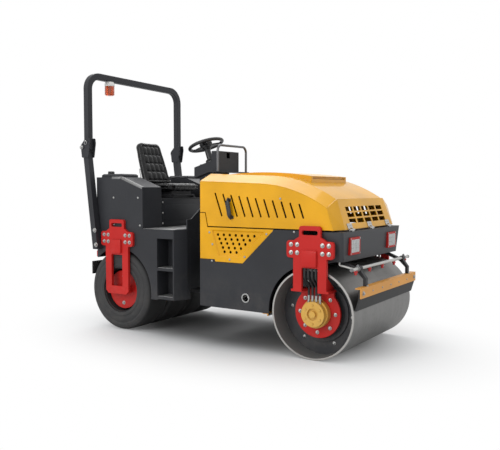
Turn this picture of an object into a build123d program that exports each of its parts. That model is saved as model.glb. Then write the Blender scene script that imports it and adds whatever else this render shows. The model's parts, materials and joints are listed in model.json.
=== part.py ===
"""Combination roller: a smooth steel drum in front, four smooth tyres behind, and a hinge between two frames.

Millimetres. +X points forward to the drum, +Y to the operator's left, +Z up.
The origin is on the ground, midway between the two ends and on the centre plane.
"""
import math
import os

from build123d import *

# Driving sizes of the whole machine.
WHEELBASE = 2000.0
DRUM_DIAMETER = 700.0
DRUM_WIDTH = 1200.0
TYRE_DIAMETER = 740.0
TYRE_WIDTH = 280.0
TYRE_GAP = 28.0

# Clearances shared by all the pieces that fit or move.
RUNNING_GAP = 0.3
CLEARANCE = 6.0
SEAM = 2.0
DRUM_SIDE_GAP = 10.0
TYRE_SIDE_GAP = 8.0
DRUM_ARCH_GAP = 25.0
TYRE_ARCH_GAP = 25.0

# Plates of both frames.
SIDE_PLATE = 12.0
FLOOR_PLATE = 10.0
WALL = 12.0
SHEET = 6.0
FRAME_BOTTOM_Z = 322.0

# Drum, its heads and the motors at its ends.
DRUM_WALL = 16.0
HEAD_RECESS = 170.0
HEAD_PLATE = 20.0
HEAD_RING = (205.0, 235.0, 14.0)
FLANGE_RECESS = 100.0
FLANGE_RADIUS = 195.0
FLANGE_PLATE = 20.0
STUB_RADIUS = 70.0
MOTOR_RADIUS = 112.0
MOTOR_DEPTH = 85.0
MOTOR_BOLT_CIRCLE = 72.0
HOSE_RADIUS = 9.0
HOSE_PITCH = 32.0
HOSE_BEND = 40.0
FITTING_RADIUS = 11.0
FITTING_RISE = 30.0

# Tyres and rims.
TYRE_SHOULDER = 45.0
BEAD_RADIUS = 208.0
RIM_WALL = 10.0
RIM_DISC = 18.0
RIM_INSET = 61.0
CORE_RADIUS = 95.0
WHEEL_FLANGE_RADIUS = 177.0
WHEEL_FLANGE_IN = 62.0

# Brackets with the lifting handles; heights count from the plate's ears.
BRACKET_PLATE = 25.0
EAR_WIDTH = 398.0
EAR_HEIGHT = 133.0
EAR_CORNER = 25.0
EAR_RISE = 82.0
HANDLE_RISE = 112.0
HANDLE_WIDTH = 182.0
HANDLE_BAR = 34.0
HANDLE_SLOT = 34.0
LEG_OUTER = 282.0
LEG_INNER = 136.0
COVER_SIZE = 130.0
COVER_RISE = 10.0
FOOT_PLATE = 18.0
FOOT_SPREAD = 18.0
GUSSET = 14.0
GUSSET_RISE = 90.0

# Steering hinge between the frames.
HINGE_X = -125.0
STEER_LIMIT = 25.0
STEER_GAP = 9.0
HINGE_PIN_RADIUS = 35.0
HINGE_PIN_COLLAR = 14.0
YOKE_RADIUS = 65.0
YOKE_PLATE = 30.0
YOKE_LOW_Z = 470.0
YOKE_HIGH_Z = 700.0

# Steering cylinder, beside the hinge.
RAM_Y = 190.0
RAM_Z = 372.0
RAM_BARREL_RADIUS = 28.0
RAM_ROD_RADIUS = 15.0
RAM_EYE_RADIUS = 24.0
RAM_EYE_HEIGHT = 32.0
RAM_STROKE = 100.0
RAM_BARREL = 265.0
RAM_END_WALL = 18.0
RAM_LUG = 22.0
RAM_REST_GAP = 120.0

# Front frame: distances from the drum's axle and rises above the drum's top.
FRAME_REAR_X = -55.0
BULKHEAD_PLATE = 20.0
DECK_RISE = 35.0
SILL_RISE = 20.0
SILL_STEP = 18.0
SILL_STEP_X = 150.0
SILL_SLOPE = (-625.0, -339.0)
SILL_TOP_RISE = 275.0
FRAME_TOP_RISE = 288.0
GUARD_BACK = 90.0
ENGINE_SIZE = (700.0, 460.0, 490.0)
ENGINE_FRONT = -180.0
TIE_X = 407.0
TIE_Z = 426.0
TIE_BORE = 28.0
TIE_RADIUS = 38.0
TIE_LENGTH = 76.0
TIE_PROUD = 4.0

# Front beam and its lamps.
BEAM_START = 80.0
BEAM_DEPTH = 170.0
BEAM_LOW_RISE = 60.0
BEAM_HEIGHT = 224.0
BEAM_TAPER = 42.0
BEAM_LEAN = 12.0
BEAM_CORNER = 30.0
BEAM_WALL = 14.0
LAMP_WIDTH = 184.0
LAMP_HEIGHT = 132.0
LAMP_DEPTH = 40.0
LAMP_PROUD = 10.0
LAMP_RIM = 20.0
LAMP_IN = 221.0
LAMP_LOW = 47.0

# Bonnet: rises count from its bottom edge, distances from the drum's axle.
BONNET_INSET = 6.0
BONNET_SEAM = 9.0
BONNET_HEIGHT = 376.0
BONNET_SLOPE = 0.04
BONNET_BEND = -462.0
NOSE_REACH = 125.0
NOSE_HEIGHT = 167.0
FRONT_FOOT_OUT = 180.0
FRONT_FOOT_IN = 222.0
FRONT_CREASE = 139.0
CREST_IN = 154.0
CREST_RISE = 64.0
CREASE_IN = 144.0
FACET_IN = 119.0
TAIL_X = 81.0
TAIL_SLANT = 24.0
TAIL_RISE = 115.0
HUMP_HALF = 325.0
HUMP_START = 115.0
HUMP_END = -150.0
HUMP_CROWN = 28.0
HUMP_STEP = 36.0
SLOT_COUNT = 11
SLOT_WIDTH = 15.0
SLOT_FOOT = 90.0
SLOT_FIRST = (222.0, 157.0, 271.0)
SLOT_LAST = (-72.0, -107.0, 189.0)
GRILLE_ROWS = 3
GRILLE_COLUMNS = 5
GRILLE_PITCH = (150.0, 46.0)
GRILLE_HOLE = (126.0, 33.0)
GRILLE_RISE = 62.0
GRIP_LOW = (323.0, 76.0)
GRIP_HIGH = (293.0, 223.0)
GRIP_STAND = 32.0
GRIP_RADIUS = 8.0
LID_KNUCKLE = 9.0
LID_PIN = 4.0
LID_LEAF = 42.0
LID_PLACES = [-392.0, -8.0, 376.0]
LID_HEIGHT = 46.0

# Screwed covers under the bonnet, with a pressed pocket of holes.
COVER_SHEET = 8.0
POCKET_DEPTH = 12.0
POCKET_SLANT = 12.0
POCKET_TOP = (117.0, 640.0)
POCKET_FOOT = (187.0, 399.0)
POCKET_HEIGHT = 218.0
POCKET_DROP = 20.0
POCKET_HOLE = 12.0
POCKET_ROWS = 5
POCKET_FIRST_ROW = 7
HOLE_PITCH = (59.8, 35.0)
HOLE_SHIFT = 16.75
HOLE_START = (176.0, 60.0)

# Scrapers and the water spray bar.
SCRAPER_INSET = 10.0
SCRAPER_ANGLE = 10.0
SCRAPER_REACH = 50.0
SCRAPER_LIP = 48.0
SCRAPER_FACE = 76.0
SCRAPER_PLATE = 9.0
SCRAPER_RISE = 232.0
BLADE = 12.0
REAR_BLADE_DROP = 20.0
REAR_ANGLE_LEG = 52.0
SPRAY_REACH = 325.0
SPRAY_RISE = 12.0
SPRAY_RADIUS = 12.0
SPRAY_CLIP = 8.0
NOZZLE_COUNT = 5
NOZZLE_END = 70.0
NOZZLE_RADIUS = 10.0
NOZZLE_LENGTH = 30.0
ARM_Y = 450.0
ARM_PLATE = 14.0
ARM_WIDTH = 40.0
ARM_START = 160.0
ARM_KNEE = 60.0
FEED_Y = 535.0
FEED_RADIUS = 7.0
FEED_DROP = 24.0

# Rear frame: rises count from the floor, distances from the rear axle.
FLOOR_RISE = 210.0
REAR_END = -265.0
BOX_FRONT = 300.0
BOX_BEND = 42.0
BOX_TOP = 466.0
BOX_LOW_TOP = 372.0
BOX_WIDTH = 256.0
SEAT_BOX_BACK = 22.0
BOX_SHEET = 8.0
BOX_LID = 30.0
BOX_LID_MARGIN = 22.0
CAP_RADIUS = 32.0
CAP_HEIGHT = 28.0
CAP_X = -158.0
CAP_IN = 74.0
SEAT_BOX_RISE = 272.0
FASCIA = 71.0
NOSE_IN = 120.0
STEP_BEHIND = 97.0
STEP_DEPTH = 160.0
STEP_DROPS = [340.0, 593.0]
STEP_PLATE = 25.0
STEP_WALL = 8.0
CENTRE_OVER_RAM = 20.0
CENTRE_BACK = 15.0
TOE_RISES = (90.0, 180.0)
TOE_HALF = (430.0, 300.0)
TOW_DROP = 190.0
TOW_REACH = 62.0
TOW_RADIUS = 42.0
TOW_BORE = 20.0
TOW_PLATE = 30.0
TAIL_LAMP = (60.0, 24.0, 56.0)
TYRE_SCRAPER_ANGLE = 20.0
TYRE_SCRAPER = 10.0
TYRE_SCRAPER_HOLD = 50.0
TYRE_SCRAPER_STRIP = 120.0
TYRE_SCRAPER_ARM = 50.0

# Steering console, dash, guard rail and wheel: rises count from the floor.
CONSOLE_HALF = 150.0
CONSOLE_LENGTH = 222.0
CONSOLE_REAR_RISE = 459.0
CONSOLE_RAKE = 67.0
CONSOLE_DEPTH = 98.0
PEDESTAL_HALF = 120.0
PEDESTAL_REAR = 130.0
DASH_DEPTH = 64.0
DASH_HALF = 172.0
DASH_RISE = 508.0
DASH_HEIGHT = 194.0
DASH_SHEET = 8.0
DASH_WINDOW = (52.0, 50.0, 12.0)
RAIL_AHEAD = 45.0
RAIL_HALF = 228.0
RAIL_HEIGHT = 235.0
RAIL_RADIUS = 11.0
RAIL_BEND = 55.0
RAIL_SHELF = 22.0
COLUMN_RADIUS = 28.0
COLUMN_PIN = 10.0
COLUMN_LEAN = 19.36
WHEEL_RISE = 773.0
WHEEL_BEHIND = 161.0
WHEEL_RADIUS = 158.0
WHEEL_RIM = 16.0
WHEEL_HUB = 50.0
WHEEL_SPOKE = (44.0, 12.0)

# Seat on the seat box.
MOUNT_HEIGHT = 74.0
MOUNT_HALF = 150.0
CUSHION_REAR = -120.0
CUSHION_FRONT = 310.0
CUSHION_HALF = 215.0
CUSHION_HEIGHT = 60.0
CUSHION_CORNER = 50.0
BACK_FOOT = -40.0
BACK_LEAN = 16.0
BACK_HEIGHT = 450.0
BACK_HALF = (190.0, 155.0)
BACK_DEPTH = 70.0
BACK_CORNER = 50.0
BACK_STAY = (110.0, 8.0, 240.0)

# Roll bar: rises count from the floor, distances from the rear axle.
ROPS_TUBE = 60.0
ROPS_WALL = 5.0
ROPS_ROUND = 8.0
ROPS_PAD = 10.0
ROPS_X = -335.0
ROPS_TOP = 1450.0
ROPS_BEND = 130.0
ROPS_FOOT = (-264.0, -205.0)
ROPS_KNEE = (-372.0, 650.0)
ROPS_POST_TOP = 702.0
ROPS_HOOP_GAP = 24.0
ROPS_PIVOT = (-378.0, 746.0)
ROPS_EAR = 18.0
ROPS_BOSS = 22.0
ROPS_PIN = 9.0
ROPS_CHEEK = 8.0
ROPS_CHEEK_SIZE = (100.0, 180.0)
ROPS_SIDE_GAP = 1.5
BEACON_Y = -370.0
BEACON_RADIUS = 43.0
BEACON_BASE = 28.0
BEACON_LENS = 94.0

# Places and sizes that follow from the ones above.
DRUM_X = WHEELBASE / 2
DRUM_Z = DRUM_DIAMETER / 2
DRUM_BORE = DRUM_DIAMETER / 2 - DRUM_WALL
HEAD_Y = DRUM_WIDTH / 2 - HEAD_RECESS
FLANGE_Y = DRUM_WIDTH / 2 - FLANGE_RECESS
FRONT_Y = DRUM_WIDTH / 2 + DRUM_SIDE_GAP
FRONT_IN = FRONT_Y - SIDE_PLATE
DECK_Z = DRUM_DIAMETER + DECK_RISE
FRAME_TOP_Z = DRUM_DIAMETER + FRAME_TOP_RISE
BEAM_REAR_X = DRUM_X + BEAM_START
BEAM_FRONT_X = BEAM_REAR_X + BEAM_DEPTH
BEAM_LOW_Z = DRUM_DIAMETER + BEAM_LOW_RISE
BEAM_TOP_Z = BEAM_LOW_Z + BEAM_HEIGHT
BEAM_HALF = FRONT_Y - BONNET_INSET - 1
BONNET_Y = FRONT_Y - BONNET_INSET
BONNET_Z = FRAME_TOP_Z + BONNET_SEAM
CREST_Y = BONNET_Y - CREST_IN
NOSE_X = DRUM_X + NOSE_REACH
NOSE_Z = BONNET_Z + NOSE_HEIGHT
LID_X = DRUM_X + FRONT_FOOT_IN + 12
LID_Z = BEAM_TOP_Z + LID_KNUCKLE + 1
AXLE_X = -WHEELBASE / 2
AXLE_Z = TYRE_DIAMETER / 2
TYRE_PITCH = TYRE_WIDTH + TYRE_GAP
TYRE_PLACES = [-1.5 * TYRE_PITCH, -0.5 * TYRE_PITCH, 0.5 * TYRE_PITCH, 1.5 * TYRE_PITCH]
REAR_Y = 1.5 * TYRE_PITCH + TYRE_WIDTH / 2 + TYRE_SIDE_GAP
REAR_IN = REAR_Y - SIDE_PLATE
RIM_DISC_Y = 1.5 * TYRE_PITCH - RIM_INSET
WHEEL_FLANGE_Y = REAR_Y - WHEEL_FLANGE_IN
REAR_X = AXLE_X + REAR_END
FLOOR_Z = TYRE_DIAMETER + FLOOR_RISE
FLOOR_LOW_Z = FLOOR_Z - FLOOR_PLATE
FASCIA_Z = FLOOR_LOW_Z - FASCIA
BOX_FRONT_X = AXLE_X + BOX_FRONT
BOX_TOP_Z = FLOOR_Z + BOX_TOP
BOX_IN = REAR_Y - BOX_WIDTH
SEAT_BOX_Z = FLOOR_Z + SEAT_BOX_RISE
STEP_X = AXLE_X + TYRE_DIAMETER / 2 + STEP_BEHIND
STEP_Y = REAR_Y - STEP_DEPTH
NOSE_HALF = REAR_Y - NOSE_IN
ROPS_Y = REAR_Y + ROPS_PAD + ROPS_TUBE / 2
RAM_EYE_X = HINGE_X
RAM_BARREL_END = RAM_EYE_X - RAM_REST_GAP
RAM_BARREL_X = RAM_BARREL_END - RAM_BARREL


def swing_line(y):
    """The foremost x a rear-frame point may have, so that the turned front frame clears it."""
    angle = math.radians(STEER_LIMIT)
    reach = (FRAME_REAR_X - HINGE_X - STEER_GAP) / math.cos(angle)
    return HINGE_X + reach - abs(y) * math.tan(angle)


REAR_NOSE_X = swing_line(NOSE_HALF)
CORNER_X = swing_line(REAR_Y)
CONSOLE_FRONT_X = REAR_NOSE_X + 36
CONSOLE_REAR_X = CONSOLE_FRONT_X - CONSOLE_LENGTH
DASH_FRONT_X = CONSOLE_FRONT_X + DASH_DEPTH - 4
RAIL_X = DASH_FRONT_X + RAIL_AHEAD


def block(x0, x1, y0, y1, z0, z1):
    """A box between two corners."""
    return Pos((x0 + x1) / 2, (y0 + y1) / 2, (z0 + z1) / 2) * Box(x1 - x0, y1 - y0, z1 - z0)


def slab_xz(face, y0, y1):
    """A sketch drawn as (x, z), made solid between two y planes."""
    return extrude(Plane.XZ.offset(-y1) * face, amount=y1 - y0)


def slab_yz(face, x0, x1):
    """A sketch drawn as (y, z), made solid between two x planes."""
    return extrude(Plane.YZ.offset(x0) * face, amount=x1 - x0)


def slab_xy(face, z0, z1):
    """A sketch drawn as (x, y), made solid between two z planes."""
    return extrude(Plane.XY.offset(z0) * face, amount=z1 - z0)


def polygon(*points):
    """A closed sketch with straight sides."""
    return make_face(Polyline(*points, close=True))


def rectangle(u0, u1, v0, v1):
    """A rectangular sketch between two corners."""
    return Pos((u0 + u1) / 2, (v0 + v1) / 2) * Rectangle(u1 - u0, v1 - v0)


def disc(u, v, radius):
    """A round sketch."""
    return Pos(u, v) * Circle(radius)


def rod_x(y, z, radius, x0, x1):
    """A cylinder along X."""
    return slab_yz(disc(y, z, radius), x0, x1)


def rod_y(x, z, radius, y0, y1):
    """A cylinder along Y."""
    return slab_xz(disc(x, z, radius), y0, y1)


def rod_z(x, y, radius, z0, z1):
    """A cylinder along Z."""
    return slab_xy(disc(x, y, radius), z0, z1)


def tube_along(path, section):
    """A section swept along a path, set square to the path's start."""
    return sweep(Plane(path @ 0, x_dir=(1, 0, 0), z_dir=path % 0) * section, path)


def flip(solid):
    """The mirror image on the other side of the machine."""
    return mirror(solid, about=Plane.XZ)


def both_sides(*solids):
    """Pieces and their mirror images."""
    return list(solids) + [flip(solid) for solid in solids]


def save(name, *solids):
    """Writes one node, of one or more solids."""
    flat = []
    for solid in solids:
        flat += solid if isinstance(solid, list) else [solid]
    whole = [piece for solid in flat for piece in solid.solids()]
    shape = whole[0] if len(whole) == 1 else Compound(children=whole)
    shape.label = name
    export_step(shape, os.path.join("parts", name + ".step"))


def drum_nodes():
    """The drum's shell and its two recessed heads."""
    half = DRUM_WIDTH / 2
    shell = rod_y(DRUM_X, DRUM_Z, DRUM_DIAMETER / 2, -half, half)
    shell = chamfer(shell.edges().filter_by(GeomType.CIRCLE), DRUM_WALL / 5)
    shell -= rod_y(DRUM_X, DRUM_Z, DRUM_BORE, -half - 1, half + 1)
    save("drum_shell", shell)
    inner, outer, proud = HEAD_RING
    head = disc(DRUM_X, DRUM_Z, DRUM_BORE) - disc(DRUM_X, DRUM_Z, STUB_RADIUS + RUNNING_GAP)
    ring = disc(DRUM_X, DRUM_Z, outer) - disc(DRUM_X, DRUM_Z, inner)
    solid = slab_xz(head, -HEAD_Y, -HEAD_Y + HEAD_PLATE) + slab_xz(ring, -HEAD_Y - proud, -HEAD_Y)
    save("drum_heads", both_sides(solid))


def bracket_plate(x, ear_z):
    """A bracket's plate seen from the side, ears, neck and lifting handle, above its legs."""
    top = ear_z + EAR_HEIGHT
    handle_top = top + HANDLE_RISE
    face = Pos(x, ear_z + EAR_HEIGHT / 2) * RectangleRounded(EAR_WIDTH, EAR_HEIGHT, EAR_CORNER)
    face += polygon((x - LEG_OUTER / 2, top - 1), (x + LEG_OUTER / 2, top - 1),
                    (x + HANDLE_WIDTH / 2, top + 30), (x - HANDLE_WIDTH / 2, top + 30))
    grip = RectangleRounded(HANDLE_WIDTH, HANDLE_RISE - 10, 22)
    face += Pos(x, (top + 10 + handle_top) / 2) * grip
    slot = RectangleRounded(HANDLE_WIDTH - 48, HANDLE_SLOT, HANDLE_SLOT * 0.4)
    return face - Pos(x, handle_top - HANDLE_BAR - HANDLE_SLOT / 2) * slot


def bracket_cover(x, ear_z, plate_y):
    """The raised cover below a bracket's ears, on the plate's outer face."""
    face = Pos(x, ear_z - 1) * RectangleRounded(COVER_SIZE, COVER_SIZE, 16)
    return slab_xz(face, plate_y - COVER_RISE, plate_y)


DRUM_EAR_Z = DRUM_DIAMETER + EAR_RISE
WINDOW_TOP_Z = DRUM_EAR_Z - COVER_SIZE / 2 - 8
FOOT_Z = DRUM_Z + FLANGE_RADIUS - FOOT_PLATE - 2
HOSE_END_Z = DRUM_Z + MOTOR_RADIUS + FITTING_RISE


def drum_bracket():
    """The right-hand carrier of the drum: plate, legs, feet and the flange inside the drum's recess."""
    x = DRUM_X
    outer = FRONT_Y + BRACKET_PLATE
    legs = rectangle(x - LEG_OUTER / 2, x + LEG_OUTER / 2, FOOT_Z, DRUM_EAR_Z + EAR_HEIGHT / 2)
    legs -= rectangle(x - LEG_INNER / 2, x + LEG_INNER / 2, FOOT_Z - 1, WINDOW_TOP_Z)
    solid = slab_xz(bracket_plate(x, DRUM_EAR_Z) + legs, -outer, -FRONT_Y)
    solid += bracket_cover(x, DRUM_EAR_Z, -outer)
    foot_top = FOOT_Z + FOOT_PLATE
    room = math.sqrt((DRUM_BORE - CLEARANCE) ** 2 - (LEG_OUTER / 2) ** 2)
    rise = min(GUSSET_RISE, DRUM_Z + room - foot_top)
    for side in (-1, 1):
        near, far = sorted((x + side * LEG_INNER / 2, x + side * (LEG_OUTER / 2 + FOOT_SPREAD)))
        solid += block(near, far, -outer, -FLANGE_Y, FOOT_Z, foot_top)
        edge = x + side * (LEG_OUTER / 2 - GUSSET / 2)
        gusset = polygon((-outer, foot_top - 1), (-outer, foot_top + rise),
                         (-FRONT_Y + 5, foot_top + rise),
                         (-FLANGE_Y, foot_top + 12), (-FLANGE_Y, foot_top - 1))
        solid += slab_yz(gusset, edge - GUSSET / 2, edge + GUSSET / 2)
    flange = disc(x, DRUM_Z, FLANGE_RADIUS)
    flange += rectangle(x - LEG_OUTER / 2, x + LEG_OUTER / 2, DRUM_Z, foot_top)
    solid += slab_xz(flange, -FLANGE_Y, -FLANGE_Y + FLANGE_PLATE)
    solid += rod_y(x, DRUM_Z, STUB_RADIUS, -FLANGE_Y, -HEAD_Y + HEAD_PLATE + 20)
    return solid


def drum_motor():
    """The right-hand drum motor, a stepped round casting on the flange with a ring of bolts."""
    y = -FLANGE_Y
    face = y - MOTOR_DEPTH
    solid = rod_y(DRUM_X, DRUM_Z, MOTOR_RADIUS, y - MOTOR_DEPTH * 0.55, y)
    solid += rod_y(DRUM_X, DRUM_Z, MOTOR_RADIUS - 14, face, y)
    solid -= rod_y(DRUM_X, DRUM_Z, MOTOR_RADIUS * 0.41, face - 1, face + 14)
    solid += rod_y(DRUM_X, DRUM_Z, MOTOR_RADIUS * 0.23, face - 6, y)
    for angle in range(30, 390, 60):
        u = DRUM_X + MOTOR_BOLT_CIRCLE * math.cos(math.radians(angle))
        v = DRUM_Z + MOTOR_BOLT_CIRCLE * math.sin(math.radians(angle))
        solid += rod_y(u, v, HOSE_RADIUS, face - 6, y)
    return solid


def hose_route(x):
    """One hose's middle line, from the bracket's window to its fitting on the motor."""
    start_y = -FRONT_Y - BRACKET_PLATE / 2
    end_y = -FLANGE_Y - MOTOR_DEPTH * 0.6
    bend_z = (WINDOW_TOP_Z + HOSE_END_Z) / 2
    reach = (start_y - end_y) / 2
    return FilletPolyline((x, start_y, WINDOW_TOP_Z), (x, start_y, bend_z - reach),
                          (x, end_y, bend_z + reach),
                          (x, end_y, HOSE_END_Z), radius=HOSE_BEND)


def drum_carrier_nodes():
    """Brackets, motors, hoses and hose fittings on both ends of the drum."""
    save("drum_brackets", both_sides(drum_bracket()))
    motor = drum_motor()
    save("drum_motors", both_sides(motor))
    hoses = []
    stems = []
    for index in range(4):
        x = DRUM_X + (index - 1.5) * HOSE_PITCH
        route = hose_route(x)
        hoses.append(tube_along(route, Circle(HOSE_RADIUS)))
        end = route @ 1
        stem = rod_z(end.X, end.Y, FITTING_RADIUS, DRUM_Z, HOSE_END_Z) - motor
        stems.append(max(stem.solids(), key=lambda solid: solid.center().Z))
    save("drum_hoses", both_sides(*hoses))
    save("hose_fittings", both_sides(*stems))


SILL_Z = DRUM_DIAMETER + SILL_RISE
SILL_STEP_Z = SILL_Z - SILL_STEP
SILL_TOP_Z = DRUM_DIAMETER + SILL_TOP_RISE
SILL_LOW_X = DRUM_X + SILL_SLOPE[0]
SILL_HIGH_X = DRUM_X + SILL_SLOPE[1]


def front_side_plate():
    """The right-hand plate of the front frame with the drum's arch and the tie-down tube's hole."""
    radius = DRUM_DIAMETER / 2 + DRUM_ARCH_GAP
    foot_x = DRUM_X - math.sqrt(radius ** 2 - (DRUM_Z - FRAME_BOTTOM_Z) ** 2)
    lean = math.sqrt(0.5) * radius
    top = (DRUM_X, DRUM_Z + radius)
    step_x = FRAME_REAR_X + SILL_STEP_X
    edges = [
        Line((FRAME_REAR_X, FRAME_BOTTOM_Z), (foot_x, FRAME_BOTTOM_Z)),
        ThreePointArc((foot_x, FRAME_BOTTOM_Z), (DRUM_X - lean, DRUM_Z + lean), top),
        Polyline(top, (BEAM_REAR_X, BEAM_LOW_Z - 5), (BEAM_REAR_X, FRAME_TOP_Z),
                 (SILL_HIGH_X + 6, FRAME_TOP_Z),
                 (SILL_HIGH_X, SILL_TOP_Z), (SILL_LOW_X, SILL_STEP_Z), (step_x + 3, SILL_STEP_Z),
                 (step_x, SILL_Z), (FRAME_REAR_X, SILL_Z), (FRAME_REAR_X, FRAME_BOTTOM_Z)),
    ]
    solid = slab_xz(make_face(edges), -FRONT_Y, -FRONT_IN)
    slot_low = DRUM_EAR_Z + EAR_HEIGHT + HANDLE_RISE - HANDLE_BAR - HANDLE_SLOT - 10
    half = HANDLE_WIDTH / 2
    solid -= block(DRUM_X - half, DRUM_X + half - 20, -FRONT_Y - 1, -FRONT_IN + 1, slot_low,
                   FRAME_TOP_Z + 1)
    return solid - rod_y(TIE_X, TIE_Z, TIE_RADIUS, -FRONT_Y - 1, -FRONT_IN + 1)


def pocket_outline(grow):
    """The pressed pocket's outline on the cover, grown by a margin."""
    top = FRAME_TOP_Z - POCKET_DROP
    foot = top - POCKET_HEIGHT
    x = FRAME_REAR_X
    return polygon((x + POCKET_TOP[0] - grow, top + grow), (x + POCKET_TOP[1] + 2 * grow, top + grow),
                   (x + POCKET_FOOT[1] + grow, foot - grow), (x + POCKET_FOOT[0] - grow, foot - grow))


def pocket_body(mouth, floor, grow):
    """The pocket as a solid with slanting walls, from its mouth to its floor."""
    wide = Plane.XZ.offset(-mouth) * pocket_outline(grow)
    narrow = Plane.XZ.offset(-floor) * pocket_outline(grow - POCKET_SLANT)
    return loft([wide, narrow], ruled=True)


def pocket_lip(mouth):
    """A thin slab that clears the pocket's mouth."""
    return slab_xz(pocket_outline(0), mouth - 1, mouth)


def side_cover():
    """The right-hand screwed cover under the bonnet, with a pressed pocket of round holes."""
    step_x = FRAME_REAR_X + SILL_STEP_X
    tail_x = FRAME_REAR_X + TAIL_X - SEAM - 4
    tail_z = BONNET_Z + TAIL_RISE - BONNET_SEAM + 3
    outline = polygon((FRAME_REAR_X, SILL_Z + SEAM), (step_x + SEAM, SILL_Z + SEAM),
                      (step_x + SEAM + 3, SILL_STEP_Z + SEAM), (SILL_LOW_X - 1, SILL_STEP_Z + SEAM),
                      (SILL_HIGH_X - SEAM, SILL_TOP_Z + 1), (SILL_HIGH_X + 3, FRAME_TOP_Z),
                      (tail_x, FRAME_TOP_Z),
                      (tail_x - TAIL_SLANT, tail_z), (FRAME_REAR_X, tail_z))
    outer = -FRONT_IN - COVER_SHEET
    floor = outer + POCKET_DEPTH
    solid = slab_xz(outline, outer, -FRONT_IN) + pocket_body(outer, floor + COVER_SHEET, COVER_SHEET)
    solid -= pocket_body(outer, floor, 0) + pocket_lip(outer)
    x = FRAME_REAR_X
    holes = Sketch()
    for row in range(POCKET_ROWS):
        for index in range(POCKET_FIRST_ROW - row):
            u = x + HOLE_START[0] + HOLE_SHIFT * row + HOLE_PITCH[0] * index
            holes += disc(u, FRAME_TOP_Z - HOLE_START[1] - HOLE_PITCH[1] * row, POCKET_HOLE)
    return solid - slab_xz(holes, outer - 1, floor + COVER_SHEET + 1)


def front_frame_nodes():
    """Plates, covers, bulkhead with the hinge's yoke, pin, deck and the engine of the front frame."""
    save("front_side_plates", both_sides(front_side_plate()))
    save("side_covers", both_sides(side_cover()))
    tie = disc(TIE_X, TIE_Z, TIE_RADIUS) - disc(TIE_X, TIE_Z, TIE_BORE)
    save("tie_tubes", both_sides(slab_xz(tie, -FRONT_Y - TIE_PROUD, -FRONT_Y - TIE_PROUD + TIE_LENGTH)))
    inside_x = FRAME_REAR_X + BULKHEAD_PLATE
    bulkhead = block(FRAME_REAR_X, inside_x, -FRONT_IN, FRONT_IN, FRAME_BOTTOM_Z,
                     BONNET_Z + TAIL_RISE - 6)
    screen_top = BONNET_Z + BONNET_HEIGHT - 30
    screen_half = BONNET_Y - SHEET - 38
    bulkhead += block(inside_x - 8, inside_x, -screen_half, screen_half, BONNET_Z, screen_top)
    yoke = disc(HINGE_X, 0, YOKE_RADIUS) + rectangle(HINGE_X, FRAME_REAR_X, -YOKE_RADIUS, YOKE_RADIUS)
    yoke -= disc(HINGE_X, 0, HINGE_PIN_RADIUS)
    for z in (YOKE_LOW_Z, YOKE_HIGH_Z):
        bulkhead += slab_xy(yoke, z, z + YOKE_PLATE)
    lug_half = RAM_EYE_RADIUS + 2
    lug = disc(RAM_EYE_X, -RAM_Y, lug_half)
    lug += rectangle(RAM_EYE_X, FRAME_REAR_X, -RAM_Y - lug_half, -RAM_Y + lug_half)
    bulkhead += slab_xy(lug, FRAME_BOTTOM_Z, RAM_Z - RAM_EYE_HEIGHT / 2 - RUNNING_GAP)
    save("front_bulkhead", bulkhead)
    low = YOKE_LOW_Z
    high = YOKE_HIGH_Z + YOKE_PLATE
    pin = rod_z(HINGE_X, 0, HINGE_PIN_RADIUS, low, high)
    pin += rod_z(HINGE_X, 0, HINGE_PIN_RADIUS + HINGE_PIN_COLLAR, high, high + 12)
    pin += rod_z(HINGE_X, 0, HINGE_PIN_RADIUS + HINGE_PIN_COLLAR, low - 12, low)
    save("hinge_pin", pin)
    deck_top = DECK_Z + SIDE_PLATE
    deck = block(inside_x, BEAM_REAR_X, -FRONT_IN, FRONT_IN, DECK_Z, deck_top)
    guard_x = DRUM_X - DRUM_DIAMETER / 2 - GUARD_BACK
    deck += block(guard_x, guard_x + SIDE_PLATE, -FRONT_IN, FRONT_IN, FRAME_BOTTOM_Z, DECK_Z)
    notch = slab_xz(pocket_outline(COVER_SHEET + 2), -FRONT_IN - 1, POCKET_DEPTH + 2 - FRONT_IN)
    save("engine_deck", deck - notch - flip(notch))
    length, width, height = ENGINE_SIZE
    engine_x = DRUM_X + ENGINE_FRONT
    engine = block(engine_x - length, engine_x, -width / 2, width / 2, deck_top, deck_top + height)
    save("engine_block", chamfer(engine.edges().filter_by(Axis.Z), 40))


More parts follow.
